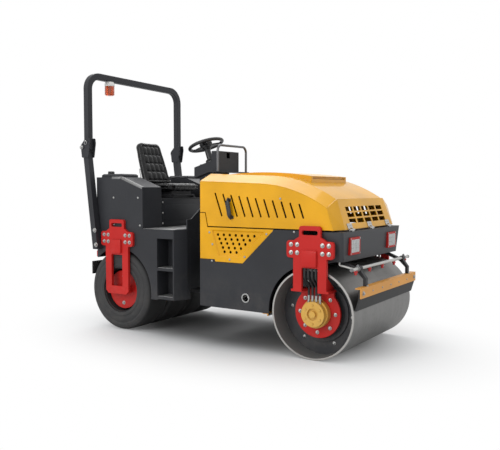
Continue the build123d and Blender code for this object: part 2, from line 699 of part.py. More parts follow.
def beam_nodes():
    """The front beam with its two lamps and the fixed halves of the bonnet's hinges."""
    foot_half = BEAM_HALF - BEAM_TAPER
    low = rectangle(BEAM_REAR_X, BEAM_FRONT_X - BEAM_LEAN, -foot_half, foot_half)
    high = rectangle(BEAM_REAR_X, BEAM_FRONT_X, -BEAM_HALF, BEAM_HALF)
    low = fillet(low.vertices().group_by(Axis.X)[-1], BEAM_CORNER)
    high = fillet(high.vertices().group_by(Axis.X)[-1], BEAM_CORNER)
    beam = loft([Pos(0, 0, BEAM_LOW_Z) * low, Pos(0, 0, BEAM_TOP_Z) * high], ruled=True)
    hollow_half = foot_half - BEAM_CORNER
    beam -= block(BEAM_REAR_X + BEAM_WALL, BEAM_FRONT_X - LAMP_DEPTH - BEAM_WALL, -hollow_half,
                  hollow_half,
                  BEAM_LOW_Z - 1, BEAM_TOP_Z - BEAM_WALL)
    frames = []
    lenses = []
    z0 = BEAM_LOW_Z + LAMP_LOW
    z1 = z0 + LAMP_HEIGHT
    for y in (-BEAM_HALF + LAMP_IN, BEAM_HALF - LAMP_IN):
        y0 = y - LAMP_WIDTH / 2
        y1 = y + LAMP_WIDTH / 2
        front = BEAM_FRONT_X + LAMP_PROUD
        back = BEAM_FRONT_X - LAMP_DEPTH
        frame = block(back, front, y0, y1, z0, z1)
        beam -= frame
        mouth = [y0 + LAMP_RIM, y1 - LAMP_RIM, z0 + LAMP_RIM, z1 - LAMP_RIM]
        frames.append(frame - block(BEAM_FRONT_X - LAMP_DEPTH / 2, front + 1, *mouth))
        lenses.append(block(BEAM_FRONT_X - LAMP_DEPTH / 2, front - 5, *mouth))
    save("front_beam", beam)
    save("headlamp_frames", frames)
    save("headlamp_lenses", lenses)
    bases = []
    for y in LID_PLACES:
        half = LID_LEAF / 2 - 1
        base = block(LID_X - 12, LID_X + 12, y - half, y + half, BEAM_TOP_Z, LID_Z - 2)
        base += rod_y(LID_X, LID_Z, LID_KNUCKLE, y - half, y + half)
        base += rod_y(LID_X, LID_Z, LID_PIN, y - LID_LEAF, y + LID_LEAF)
        bases.append(base)
    save("hinge_bases", bases)


def bonnet_height(x):
    """Height of the bonnet's upper side edge on its straight part."""
    return BONNET_Z + BONNET_HEIGHT - BONNET_SLOPE * (x - FRAME_REAR_X)


def bonnet_edge(drop):
    """The bonnet's upper side edge, a straight and an arc down to the nose, lowered by a drop."""
    bend = (DRUM_X + BONNET_BEND, bonnet_height(DRUM_X + BONNET_BEND) - drop)
    straight = Line((FRAME_REAR_X, bonnet_height(FRAME_REAR_X) - drop), bend)
    curve = TangentArc(bend, (NOSE_X, NOSE_Z - drop), tangent=(1, -BONNET_SLOPE))
    return [straight, curve]


def bonnet_side():
    """The left-hand side panel with its row of slanted slots."""
    edges = bonnet_edge(SHEET)
    tail_x = FRAME_REAR_X + TAIL_X
    edges.append(Polyline((NOSE_X, NOSE_Z - SHEET), (DRUM_X + FRONT_FOOT_OUT - SHEET, BONNET_Z),
                          (tail_x, BONNET_Z),
                          (tail_x - TAIL_SLANT, BONNET_Z + TAIL_RISE),
                          (FRAME_REAR_X, BONNET_Z + TAIL_RISE),
                          (FRAME_REAR_X, BONNET_Z + BONNET_HEIGHT - SHEET)))
    side = slab_xz(make_face(edges), BONNET_Y - SHEET, BONNET_Y)
    slots = Sketch()
    first_foot, first_top, first_rise = SLOT_FIRST
    last_foot, last_top, last_rise = SLOT_LAST
    for index in range(SLOT_COUNT):
        share = index / (SLOT_COUNT - 1)
        foot = FRAME_REAR_X + first_foot + (DRUM_X + last_foot - FRAME_REAR_X - first_foot) * share
        top = FRAME_REAR_X + first_top + (DRUM_X + last_top - FRAME_REAR_X - first_top) * share
        low = (foot, BONNET_Z + SLOT_FOOT)
        high = (top, BONNET_Z + first_rise + (last_rise - first_rise) * share)
        angle = math.degrees(math.atan2(high[1] - low[1], high[0] - low[0]))
        slot = SlotCenterToCenter(math.dist(low, high), SLOT_WIDTH, rotation=angle)
        slots += Pos((low[0] + high[0]) / 2, (low[1] + high[1]) / 2) * slot
    return side - slab_xz(slots, BONNET_Y - SHEET - 1, BONNET_Y + 1)


def bonnet_top():
    """The top panel: flat crown, two slanting shoulders and the raised hump with its slotted step."""
    nose = Line((NOSE_X, NOSE_Z), (NOSE_X, NOSE_Z - SHEET))
    rear_z = BONNET_Z + BONNET_HEIGHT
    rear = Line((FRAME_REAR_X, rear_z), (FRAME_REAR_X, rear_z - SHEET))
    band = make_face(bonnet_edge(0) + bonnet_edge(SHEET) + [nose, rear])
    edge = (Plane.XZ.offset(BONNET_Y) * band).faces()[0]
    shoulder = Solid.extrude(edge, Vector(0, CREST_IN, CREST_RISE))
    crest = (Plane.XZ.offset(CREST_Y) * Pos(0, CREST_RISE) * band).faces()[0]
    top = Solid.extrude(crest, Vector(0, 2 * CREST_Y, 0)) + shoulder + flip(shoulder)
    x0 = FRAME_REAR_X + HUMP_START
    x1 = DRUM_X + HUMP_END
    mid = (x0 + x1) / 2
    low = BONNET_Z
    start = (x0, bonnet_height(x0) + CREST_RISE)
    crown = (mid, bonnet_height(mid) + CREST_RISE + HUMP_CROWN)
    end = (x1, bonnet_height(x1) + CREST_RISE - BONNET_SLOPE * BONNET_HEIGHT + HUMP_STEP - 12)
    outline = make_face([ThreePointArc(start, crown, end), Polyline(end, (x1, low), (x0, low), start)])
    under = make_face(bonnet_edge(-CREST_RISE) + [Polyline((NOSE_X, NOSE_Z + CREST_RISE), (NOSE_X, low),
                                                           (FRAME_REAR_X, low),
                                                           (FRAME_REAR_X, rear_z + CREST_RISE))])
    hump = slab_xz(outline, -HUMP_HALF, HUMP_HALF) - slab_xz(under, -HUMP_HALF - 1, HUMP_HALF + 1)
    for drop in (9, 21):
        z = end[1] - drop
        hump -= block(x1 - 14, x1 + 1, -HUMP_HALF + 25, HUMP_HALF - 25, z - 3, z + 3)
    return top + hump


def facet(*points):
    """A flat sheet piece between corner points, thickened backward."""
    face = Face(Wire.make_polygon([Vector(*point) for point in points]))
    return Solid.extrude(face, Vector(-SHEET, 0, 0))


def front_face_x(z):
    """Where the bonnet's front face stands at a height."""
    share = (z - BONNET_Z) / (NOSE_HEIGHT + CREST_RISE)
    return DRUM_X + FRONT_FOOT_IN + (FRONT_CREASE - FRONT_FOOT_IN) * share


def bonnet_front(side, top):
    """The front panel with its grille, and the angled corner pieces that meet the side and the top."""
    crease = (DRUM_X + FRONT_CREASE, BONNET_Y - CREASE_IN, NOSE_Z + CREST_RISE)
    foot_in = (DRUM_X + FRONT_FOOT_IN, BONNET_Y - FACET_IN, BONNET_Z)
    foot_out = (DRUM_X + FRONT_FOOT_OUT, BONNET_Y, BONNET_Z)
    nose_out = (NOSE_X, BONNET_Y, NOSE_Z)
    panel = facet(foot_in, crease, (crease[0], -crease[1], crease[2]),
                  (foot_in[0], -foot_in[1], foot_in[2]))
    for row in range(GRILLE_ROWS):
        z = BONNET_Z + GRILLE_RISE + GRILLE_PITCH[1] * row
        for column in range(GRILLE_COLUMNS):
            y = (column - (GRILLE_COLUMNS - 1) / 2) * GRILLE_PITCH[0]
            hole = rectangle(y - GRILLE_HOLE[0] / 2, y + GRILLE_HOLE[0] / 2, z - GRILLE_HOLE[1] / 2,
                             z + GRILLE_HOLE[1] / 2)
            panel -= slab_yz(hole, NOSE_X - 100, DRUM_X + FRONT_FOOT_IN + 1)
    corner = facet(foot_in, foot_out, nose_out) + facet(foot_in, nose_out, crease) - side - top
    return panel - top + corner + flip(corner)


def bonnet_nodes():
    """Bonnet panels, the moving hinge leaves and the side handles."""
    side = bonnet_side()
    top = bonnet_top()
    save("bonnet_sides", both_sides(side))
    save("bonnet_top", top)
    save("bonnet_front", bonnet_front(side, top))
    leaves = []
    leaf_top = BONNET_Z + LID_HEIGHT
    knee = BONNET_Z + LID_KNUCKLE + 4
    ear = polygon((front_face_x(BONNET_Z), BONNET_Z), (front_face_x(knee), knee),
                  (front_face_x(knee) + 5, knee),
                  (LID_X + 5, LID_Z + 5), (LID_X - 5, LID_Z))
    plate = polygon((front_face_x(knee), knee), (front_face_x(leaf_top), leaf_top),
                    (front_face_x(leaf_top) + 5, leaf_top),
                    (front_face_x(knee) + 5, knee))
    for y in LID_PLACES:
        leaf = slab_xz(plate, y - LID_LEAF, y + LID_LEAF)
        for y0 in (y - LID_LEAF, y + LID_LEAF / 2):
            leaf += slab_xz(ear, y0, y0 + LID_LEAF / 2) + rod_y(LID_X, LID_Z, LID_KNUCKLE, y0,
                                                                y0 + LID_LEAF / 2)
        leaves.append(leaf - rod_y(LID_X, LID_Z, LID_PIN + RUNNING_GAP, y - LID_LEAF - 1,
                                   y + LID_LEAF + 1))
    save("hinge_leaves", leaves)
    low = (FRAME_REAR_X + GRIP_LOW[0], BONNET_Z + GRIP_LOW[1])
    high = (FRAME_REAR_X + GRIP_HIGH[0], BONNET_Z + GRIP_HIGH[1])
    stand = BONNET_Y + GRIP_STAND
    path = FilletPolyline((low[0], BONNET_Y, low[1]), (low[0], stand, low[1]), (high[0], stand, high[1]),
                          (high[0], BONNET_Y, high[1]), radius=12)
    save("bonnet_handles", both_sides(sweep(Plane(path @ 0, z_dir=path % 0) * Circle(GRIP_RADIUS),
                                            path)))


def scraper_nodes():
    """Front and rear drum scrapers, their arms, and the water spray bar with its nozzles."""
    half = DRUM_WIDTH / 2 - SCRAPER_INSET
    reach = DRUM_DIAMETER / 2 + CLEARANCE
    angle = math.radians(SCRAPER_ANGLE)
    tip = (DRUM_X + reach * math.cos(angle), DRUM_Z + reach * math.sin(angle))
    front_x = DRUM_X + DRUM_DIAMETER / 2 + SCRAPER_REACH
    lip_z = DRUM_Z + SCRAPER_RISE
    t = SCRAPER_PLATE
    face = rectangle(front_x - t, front_x, lip_z - SCRAPER_FACE, lip_z)
    face += rectangle(front_x - SCRAPER_LIP, front_x, lip_z - t, lip_z)
    front_angle = slab_xz(face, -half, half)
    strip = polygon(tip, (tip[0] + BLADE, tip[1]), (front_x - t, lip_z - SCRAPER_FACE),
                    (front_x - t, lip_z - t),
                    (front_x - t - BLADE, lip_z - t), (front_x - t - BLADE, lip_z - SCRAPER_FACE))
    front_blade = slab_xz(strip, -half, half)
    back_x = DRUM_X - reach
    guard_x = DRUM_X - DRUM_DIAMETER / 2 - GUARD_BACK
    angle_x = guard_x + REAR_ANGLE_LEG
    low = FRAME_BOTTOM_Z - 22
    blade = polygon((back_x, DRUM_Z - REAR_BLADE_DROP), (back_x, DRUM_Z - REAR_BLADE_DROP - BLADE),
                    (angle_x, low),
                    (angle_x, low + BLADE))
    rear_blade = slab_xz(blade, -half, half)
    lip = polygon((angle_x, low), (angle_x, FRAME_BOTTOM_Z), (guard_x, FRAME_BOTTOM_Z),
                  (guard_x, FRAME_BOTTOM_Z - 8), (angle_x - 8, FRAME_BOTTOM_Z - 8), (angle_x - 8, low))
    save("scraper_blades", front_blade, rear_blade)
    save("scraper_angles", front_angle, slab_xz(lip, -FRONT_IN, FRONT_IN))
    spray_x = DRUM_X + SPRAY_REACH
    spray_z = DRUM_DIAMETER + SPRAY_RISE
    knee = (front_x - SCRAPER_LIP / 2, lip_z + ARM_KNEE)
    start = (DRUM_X + ARM_START, BEAM_LOW_Z)
    w = ARM_PLATE
    shape = polygon(start, (start[0], start[1] - w), (spray_x - w, spray_z - SPRAY_RADIUS - w),
                    (knee[0] - w, knee[1] - w / 2),
                    (knee[0] - w, lip_z), (knee[0] + w / 2, lip_z), (knee[0] + w / 2, knee[1]),
                    (spray_x + w, spray_z - SPRAY_RADIUS), (start[0] + 2 * w, start[1] - 1),
                    (start[0] + 2 * w, start[1]))
    clamp = disc(spray_x, spray_z, SPRAY_RADIUS + SPRAY_CLIP) - disc(spray_x, spray_z, SPRAY_RADIUS)
    arms = []
    for y in (-ARM_Y, ARM_Y):
        arm = slab_xz(shape, y - ARM_WIDTH / 2, y + ARM_WIDTH / 2)
        arm -= rod_y(spray_x, spray_z, SPRAY_RADIUS + SPRAY_CLIP / 2, y - ARM_WIDTH, y + ARM_WIDTH)
        arms.append(arm + slab_xz(clamp, y - ARM_WIDTH / 2, y + ARM_WIDTH / 2))
    save("scraper_arms", arms)
    bar = rod_y(spray_x, spray_z, SPRAY_RADIUS, -half, half)
    bar += tube_along(FilletPolyline((start[0] + 40, -FEED_Y, BEAM_LOW_Z),
                                     (start[0] + 40, -FEED_Y, BEAM_LOW_Z - FEED_DROP),
                                     (spray_x, -FEED_Y, spray_z), radius=FEED_DROP / 3),
                                     Circle(FEED_RADIUS))
    save("spray_bar", bar)
    nozzles = []
    pitch = 2 * (half - NOZZLE_END) / (NOZZLE_COUNT - 1)
    for index in range(NOZZLE_COUNT):
        y = -half + NOZZLE_END + pitch * index
        stem = rod_z(spray_x, y, NOZZLE_RADIUS, spray_z - SPRAY_RADIUS - NOZZLE_LENGTH, spray_z)
        stem += rod_z(spray_x, y, NOZZLE_RADIUS + 5, spray_z - SPRAY_RADIUS - 14,
                      spray_z - SPRAY_RADIUS - 2)
        nozzles.append(stem - bar)
    save("spray_nozzles", [max(nozzle.solids(), key=lambda solid: solid.volume) for nozzle in nozzles])


def tyre_arch():
    """Radius of the tyre's arch, the height where it meets the rear edge and the x where it meets the bottom."""
    radius = TYRE_DIAMETER / 2 + TYRE_ARCH_GAP
    rear_z = AXLE_Z + math.sqrt(radius ** 2 - REAR_END ** 2)
    front_x = AXLE_X + math.sqrt(radius ** 2 - (AXLE_Z - FRAME_BOTTOM_Z) ** 2)
    return radius, rear_z, front_x


def floor_outline(rear_x, inset):
    """The floor's plan from a rear edge to its chamfered front corners, drawn in by an inset."""
    half = REAR_Y - inset
    return polygon((rear_x, -half), (CORNER_X - inset, -half), (REAR_NOSE_X - inset,
                                                                -NOSE_HALF + inset / 2),
                   (REAR_NOSE_X - inset, NOSE_HALF - inset / 2), (CORNER_X - inset, half),
                   (rear_x, half))


def rear_frame_nodes():
    """Side plates, floor, centre box with the hinge's tongue, steps and toe board of the rear frame."""
    radius, rear_z, front_x = tyre_arch()
    edges = [
        ThreePointArc((REAR_X, rear_z), (AXLE_X, AXLE_Z + radius), (front_x, FRAME_BOTTOM_Z)),
        Polyline((front_x, FRAME_BOTTOM_Z), (STEP_X, FRAME_BOTTOM_Z), (STEP_X, FLOOR_LOW_Z),
                 (REAR_X, FLOOR_LOW_Z),
                 (REAR_X, rear_z)),
    ]
    save("rear_side_plates", both_sides(slab_xz(make_face(edges), -REAR_Y, -REAR_IN)))
    floor = slab_xy(floor_outline(REAR_X, 0), FLOOR_LOW_Z, FLOOR_Z)
    floor += slab_xy(floor_outline(STEP_X, 0) - floor_outline(STEP_X - 1, SIDE_PLATE), FASCIA_Z,
                     FLOOR_LOW_Z)
    save("floor_plate", floor)
    low = RAM_Z + RAM_BARREL_RADIUS + CENTRE_OVER_RAM
    back_x = AXLE_X + TYRE_DIAMETER / 2 + CENTRE_BACK
    centre = block(back_x, REAR_NOSE_X, -STEP_Y, STEP_Y, low, FASCIA_Z)
    centre -= block(back_x - 1, REAR_NOSE_X - WALL, -STEP_Y + WALL, STEP_Y - WALL, low + WALL,
                    FASCIA_Z - WALL)
    half = YOKE_RADIUS - 5
    tongue = disc(HINGE_X, 0, half) + rectangle(REAR_NOSE_X, HINGE_X, -half, half)
    tongue -= disc(HINGE_X, 0, HINGE_PIN_RADIUS + RUNNING_GAP)
    centre += slab_xy(tongue, YOKE_LOW_Z + YOKE_PLATE + CLEARANCE, YOKE_HIGH_Z - CLEARANCE)
    lug_half = RAM_BARREL_RADIUS + 2
    centre += block(RAM_BARREL_X - RAM_LUG, RAM_BARREL_X, -RAM_Y - lug_half, -RAM_Y + lug_half,
                    RAM_Z - lug_half, low)
    save("centre_box", centre)
    lowest = FLOOR_Z - STEP_DROPS[-1] - STEP_PLATE
    steps = block(STEP_X, CORNER_X, -STEP_Y - STEP_WALL, -STEP_Y, lowest, FASCIA_Z)
    steps += block(STEP_X - SIDE_PLATE, STEP_X, -REAR_IN, -STEP_Y, FRAME_BOTTOM_Z, FASCIA_Z)
    nose = polygon((CORNER_X, -REAR_Y), (REAR_NOSE_X, -NOSE_HALF), (REAR_NOSE_X, -STEP_Y),
                   (REAR_NOSE_X - WALL, -STEP_Y),
                   (REAR_NOSE_X - WALL, -NOSE_HALF), (CORNER_X - WALL, -REAR_Y))
    steps += slab_xy(nose, lowest, FASCIA_Z)
    shelf = polygon((STEP_X, -REAR_Y), (CORNER_X - WALL, -REAR_Y), (REAR_NOSE_X - WALL, -NOSE_HALF),
                    (REAR_NOSE_X - WALL, -STEP_Y), (STEP_X, -STEP_Y))
    for drop in STEP_DROPS:
        z = FLOOR_Z - drop
        steps += slab_xy(shelf, z - STEP_PLATE, z)
    save("steps", both_sides(steps))
    toe = polygon((-NOSE_HALF, FLOOR_Z), (-NOSE_HALF, FLOOR_Z + TOE_RISES[0]),
                  (-TOE_HALF[0], FLOOR_Z + TOE_RISES[0]),
                  (-TOE_HALF[1], FLOOR_Z + TOE_RISES[1]), (TOE_HALF[1], FLOOR_Z + TOE_RISES[1]),
                  (TOE_HALF[0], FLOOR_Z + TOE_RISES[0]), (NOSE_HALF, FLOOR_Z + TOE_RISES[0]),
                  (NOSE_HALF, FLOOR_Z))
    save("toe_board", slab_yz(toe, REAR_NOSE_X - WALL, REAR_NOSE_X))


def side_box():
    """The right-hand box beside the seat, an open-bottomed sheet cover with a sloping top and a raised lid."""
    bend_x = AXLE_X + BOX_BEND
    low_top = FLOOR_Z + BOX_LOW_TOP
    t = BOX_SHEET
    outer = polygon((REAR_X, FLOOR_Z), (REAR_X, BOX_TOP_Z), (bend_x, BOX_TOP_Z), (BOX_FRONT_X, low_top),
                    (BOX_FRONT_X, FLOOR_Z))
    inner = polygon((REAR_X + t, FLOOR_Z - 1), (REAR_X + t, BOX_TOP_Z - t),
                    (bend_x - t / 4, BOX_TOP_Z - t),
                    (BOX_FRONT_X - t, low_top - t), (BOX_FRONT_X - t, FLOOR_Z - 1))
    solid = slab_xz(outer, -REAR_Y, -BOX_IN) - slab_xz(inner, -REAR_Y + t, -BOX_IN - t)
    lid = block(REAR_X + 37, bend_x - 10, -REAR_Y + BOX_LID_MARGIN, -BOX_IN - BOX_LID_MARGIN, BOX_TOP_Z,
                BOX_TOP_Z + BOX_LID)
    return solid + chamfer(lid.edges().group_by(Axis.Z)[-1], 12)


def station_nodes():
    """Side boxes, seat box, rear panel with its lamps, tow lug and tyre scraper, and the filler cap."""
    save("side_boxes", both_sides(side_box()))
    cap_y = -REAR_Y + CAP_IN
    cap = rod_z(AXLE_X + CAP_X, cap_y, CAP_RADIUS, BOX_TOP_Z + BOX_LID, BOX_TOP_Z + BOX_LID + CAP_HEIGHT)
    save("filler_cap", fillet(cap.edges().group_by(Axis.Z)[-1], 5))
    t = BOX_SHEET
    front = BOX_FRONT_X - SEAT_BOX_BACK
    box = block(REAR_X, front, -BOX_IN, BOX_IN, FLOOR_Z, SEAT_BOX_Z)
    box -= block(REAR_X - 1, front - t, -BOX_IN + t, BOX_IN - t, FLOOR_Z - 1, SEAT_BOX_Z - t)
    save("seat_box", box)
    radius, rear_z, front_x = tyre_arch()
    panel_x = REAR_X - FLOOR_PLATE
    save("rear_panel", block(panel_x, REAR_X, -REAR_Y, REAR_Y, rear_z, BOX_TOP_Z))
    width, depth, height = TAIL_LAMP
    lamp = block(panel_x - depth, panel_x, -REAR_Y + 10, -REAR_Y + 10 + width, rear_z + 4,
                 rear_z + 4 + height)
    save("rear_lamps", both_sides(fillet(lamp.edges().group_by(Axis.X)[0], 6)))
    tow_x = REAR_X - TOW_REACH
    tow_z = FLOOR_Z - TOW_DROP
    eye = disc(tow_x, tow_z, TOW_RADIUS) + rectangle(tow_x, panel_x, tow_z - TOW_RADIUS,
                                                     tow_z + TOW_RADIUS)
    save("tow_lug", slab_xz(eye - disc(tow_x, tow_z, TOW_BORE), -TOW_PLATE / 2, TOW_PLATE / 2))
    angle = math.radians(TYRE_SCRAPER_ANGLE)
    reach = TYRE_DIAMETER / 2 + CLEARANCE
    tip = (AXLE_X - reach * math.cos(angle), AXLE_Z + reach * math.sin(angle))
    t = TYRE_SCRAPER
    top = tip[1] + TYRE_SCRAPER_STRIP
    strip = rectangle(tip[0] - t, tip[0], tip[1], top)
    arm = polygon((panel_x, rear_z), (panel_x, rear_z + TYRE_SCRAPER_HOLD),
                  (panel_x - t, rear_z + TYRE_SCRAPER_HOLD),
                  (panel_x - t, rear_z), (tip[0] - 2 * t, top), (tip[0] - 2 * t, tip[1]),
                  (tip[0] - t, tip[1]), (tip[0] - t, top))
    flap = slab_xz(strip, -REAR_IN, REAR_IN)
    for y in (-TYRE_PITCH / 2, TYRE_PITCH / 2):
        flap += slab_xz(arm, y - TYRE_SCRAPER_ARM / 2, y + TYRE_SCRAPER_ARM / 2)
    save("tyre_scraper", flap)


def ram_nodes():
    """The steering cylinder: barrel on the rear frame, rod with its eye over the front frame's lug."""
    barrel = rod_x(-RAM_Y, RAM_Z, RAM_BARREL_RADIUS, RAM_BARREL_X, RAM_BARREL_END)
    bore_x = RAM_BARREL_X + RAM_END_WALL
    save("ram_barrel", barrel - rod_x(-RAM_Y, RAM_Z, RAM_ROD_RADIUS + RUNNING_GAP, bore_x,
                                      RAM_BARREL_END + 1))
    rod = rod_x(-RAM_Y, RAM_Z, RAM_ROD_RADIUS, bore_x + RAM_STROKE, RAM_EYE_X)
    half = RAM_EYE_HEIGHT / 2
    save("ram_rod", rod + rod_z(RAM_EYE_X, -RAM_Y, RAM_EYE_RADIUS, RAM_Z - half, RAM_Z + half))


def axle_bracket():
    """The right-hand carrier of the rear axle: plate, long legs, boxed foot and the flange inside the rim."""
    x = AXLE_X
    ear_z = FLOOR_LOW_Z - EAR_HEIGHT - 25
    low = AXLE_Z - 30
    outer = REAR_Y + BRACKET_PLATE
    legs = rectangle(x - LEG_OUTER / 2, x + LEG_OUTER / 2, low, ear_z + EAR_HEIGHT / 2)
    legs = chamfer(legs.vertices().group_by(Axis.Y)[0], 30)
    legs -= rectangle(x - LEG_INNER / 2, x + LEG_INNER / 2, low + 73, ear_z - COVER_SIZE / 2 - 14)
    solid = slab_xz(bracket_plate(x, ear_z) + legs, -outer, -REAR_Y)
    solid += bracket_cover(x, ear_z, -outer)
    solid += block(x - 110, x + 110, -REAR_Y, -WHEEL_FLANGE_Y + FLANGE_PLATE, low + 12, low + 62)
    solid += rod_y(x, AXLE_Z, WHEEL_FLANGE_RADIUS, -WHEEL_FLANGE_Y, -WHEEL_FLANGE_Y + FLANGE_PLATE)
    solid += rod_y(x, AXLE_Z, STUB_RADIUS, -WHEEL_FLANGE_Y + FLANGE_PLATE, -RIM_DISC_Y + 45)
    return solid


def tyre(y):
    """One smooth tyre with round shoulders."""
    outer = TYRE_DIAMETER / 2
    half = TYRE_WIDTH / 2
    shoulder = TYRE_SHOULDER
    corner = shoulder * (1 - math.sqrt(0.5))
    wall = outer - shoulder
    tread = half - shoulder
    edges = [
        Line((BEAD_RADIUS, y - half + 12), (wall, y - half)),
        ThreePointArc((wall, y - half), (outer - corner, y - half + corner), (outer, y - tread)),
        Line((outer, y - tread), (outer, y + tread)),
        ThreePointArc((outer, y + tread), (outer - corner, y + half - corner), (wall, y + half)),
        Polyline((wall, y + half), (BEAD_RADIUS, y + half - 12), (BEAD_RADIUS, y - half + 12)),
    ]
    section = Pos(AXLE_X, 0, AXLE_Z) * make_face(edges)
    return revolve(section, axis=Axis((AXLE_X, 0, AXLE_Z), (0, 1, 0)))


def wheel_nodes():
    """Four smooth tyres, their rims on one core, and the carriers at the axle's ends."""
    save("axle_brackets", both_sides(axle_bracket()))
    save("tyres", [tyre(y) for y in TYRE_PLACES])
    rims = rod_y(AXLE_X, AXLE_Z, CORE_RADIUS, -RIM_DISC_Y, RIM_DISC_Y)
    half = TYRE_WIDTH / 2 - 20
    for y in TYRE_PLACES:
        ring = disc(AXLE_X, AXLE_Z, BEAD_RADIUS) - disc(AXLE_X, AXLE_Z, BEAD_RADIUS - RIM_WALL)
        rims += slab_xz(ring, y - half, y + half)
        middle = y if abs(y) < TYRE_PITCH else math.copysign(RIM_DISC_Y, y)
        rims += rod_y(AXLE_X, AXLE_Z, BEAD_RADIUS - RIM_WALL / 2, middle - RIM_DISC / 2,
                      middle + RIM_DISC / 2)
    save("wheel_rims", rims - rod_y(AXLE_X, AXLE_Z, STUB_RADIUS + RUNNING_GAP, -REAR_Y, REAR_Y))


def console_nodes():
    """Console on its pedestal, dash, guard rail, steering column and steering wheel."""
    rear_z = FLOOR_Z + CONSOLE_REAR_RISE
    front_z = rear_z + CONSOLE_RAKE
    shape = polygon((CONSOLE_REAR_X, rear_z), (CONSOLE_REAR_X, rear_z + CONSOLE_DEPTH),
                    (CONSOLE_FRONT_X, front_z + CONSOLE_DEPTH), (CONSOLE_FRONT_X, front_z))
    head = slab_xz(shape, -CONSOLE_HALF, CONSOLE_HALF)
    foot_x = REAR_NOSE_X - WALL
    pedestal = polygon((foot_x - PEDESTAL_REAR, FLOOR_Z), (CONSOLE_REAR_X + 40, rear_z + 20),
                       (CONSOLE_FRONT_X - 10, front_z + 4), (foot_x, FLOOR_Z + TOE_RISES[1]),
                       (foot_x, FLOOR_Z))
    console = head + slab_xz(pedestal, -PEDESTAL_HALF, PEDESTAL_HALF)
    save("console", console)
    low = FLOOR_Z + DASH_RISE
    high = low + DASH_HEIGHT
    back_x = DASH_FRONT_X - DASH_DEPTH
    t = DASH_SHEET
    dash = block(back_x, DASH_FRONT_X, -DASH_HALF, DASH_HALF, low, high)
    dash -= block(back_x + t, DASH_FRONT_X - t, -DASH_HALF + t, DASH_HALF - t, low - 1, high - t)
    shelf_half = RAIL_HALF + RAIL_SHELF
    dash += block(back_x, RAIL_X + RAIL_SHELF, -shelf_half, shelf_half, low, low + t)
    width, height, drop = DASH_WINDOW
    window = rectangle(-width / 2, width / 2, high - drop - height, high - drop)
    dash -= slab_yz(window, back_x - 1, DASH_FRONT_X + 1)
    save("dash", dash - head)
    foot = low + t
    top = foot + RAIL_HEIGHT
    path = FilletPolyline((RAIL_X, -RAIL_HALF, foot), (RAIL_X, -RAIL_HALF, top),
                          (RAIL_X, RAIL_HALF, top),
                          (RAIL_X, RAIL_HALF, foot), radius=RAIL_BEND)
    save("guard_rail", tube_along(path, Circle(RAIL_RADIUS)))
    lean = math.radians(COLUMN_LEAN)
    centre = (REAR_NOSE_X - WHEEL_BEHIND, 0, FLOOR_Z + WHEEL_RISE)
    frame = Plane(origin=centre, x_dir=(math.cos(lean), 0, math.sin(lean)),
                  z_dir=(-math.sin(lean), 0, math.cos(lean)))
    column = frame * Pos(0, 0, -130) * Cylinder(COLUMN_RADIUS, 200) - console
    column = max(column.solids(), key=lambda solid: solid.center().Z)
    column += frame * Pos(0, 0, -20) * Cylinder(COLUMN_PIN, 40)
    save("steering_column", column)
    wheel = Torus(WHEEL_RADIUS, WHEEL_RIM)
    for turn in (60, 180, 300):
        wheel += Rot(0, 0, turn) * Pos(WHEEL_RADIUS / 2, 0, -6) * Box(WHEEL_RADIUS, *WHEEL_SPOKE)
    wheel += Pos(0, 0, -6) * Cylinder(WHEEL_HUB, 40)
    wheel -= Pos(0, 0, -20) * Cylinder(COLUMN_PIN + RUNNING_GAP, 41)
    save("steering_wheel", frame * wheel)


def seat_nodes():
    """Seat slide with its stay, cushion and reclined back."""
    x0 = AXLE_X + CUSHION_REAR
    x1 = AXLE_X + CUSHION_FRONT
    low = SEAT_BOX_Z + MOUNT_HEIGHT
    top = low + CUSHION_HEIGHT
    cushion = block(x0, x1, -CUSHION_HALF, CUSHION_HALF, low, top)
    cushion = fillet(cushion.edges().filter_by(Axis.Z), CUSHION_CORNER)
    save("seat_cushion", fillet(cushion.edges().group_by(Axis.Z)[-1], CUSHION_HEIGHT / 3))
    lean = math.radians(BACK_LEAN)
    frame = Plane(origin=(AXLE_X + BACK_FOOT, 0, top), x_dir=(0, 1, 0),
                  z_dir=(math.cos(lean), 0, math.sin(lean)))
    foot, head = BACK_HALF
    shape = polygon((-foot, -CUSHION_HEIGHT), (foot, -CUSHION_HEIGHT), (head, BACK_HEIGHT),
                    (-head, BACK_HEIGHT))
    shape = fillet(shape.vertices().group_by(Axis.Y)[-1], BACK_CORNER)
    back = extrude(frame * shape, amount=-BACK_DEPTH)
    below = block(x0 - 500, x1, -REAR_Y, REAR_Y, 0, top)
    save("seat_back", back - below)
    half, plate, rise = BACK_STAY
    stay = extrude(frame * Pos(0, 0, -BACK_DEPTH) * rectangle(-half, half, -CUSHION_HEIGHT - 80, rise),
                   amount=-plate)
    stay -= block(x0 - 500, x1, -REAR_Y, REAR_Y, 0, SEAT_BOX_Z) + cushion + back
    mount = block(x0 + 60, x1 - 60, -MOUNT_HALF, MOUNT_HALF, SEAT_BOX_Z, low)
    save("seat_mount", mount, stay)


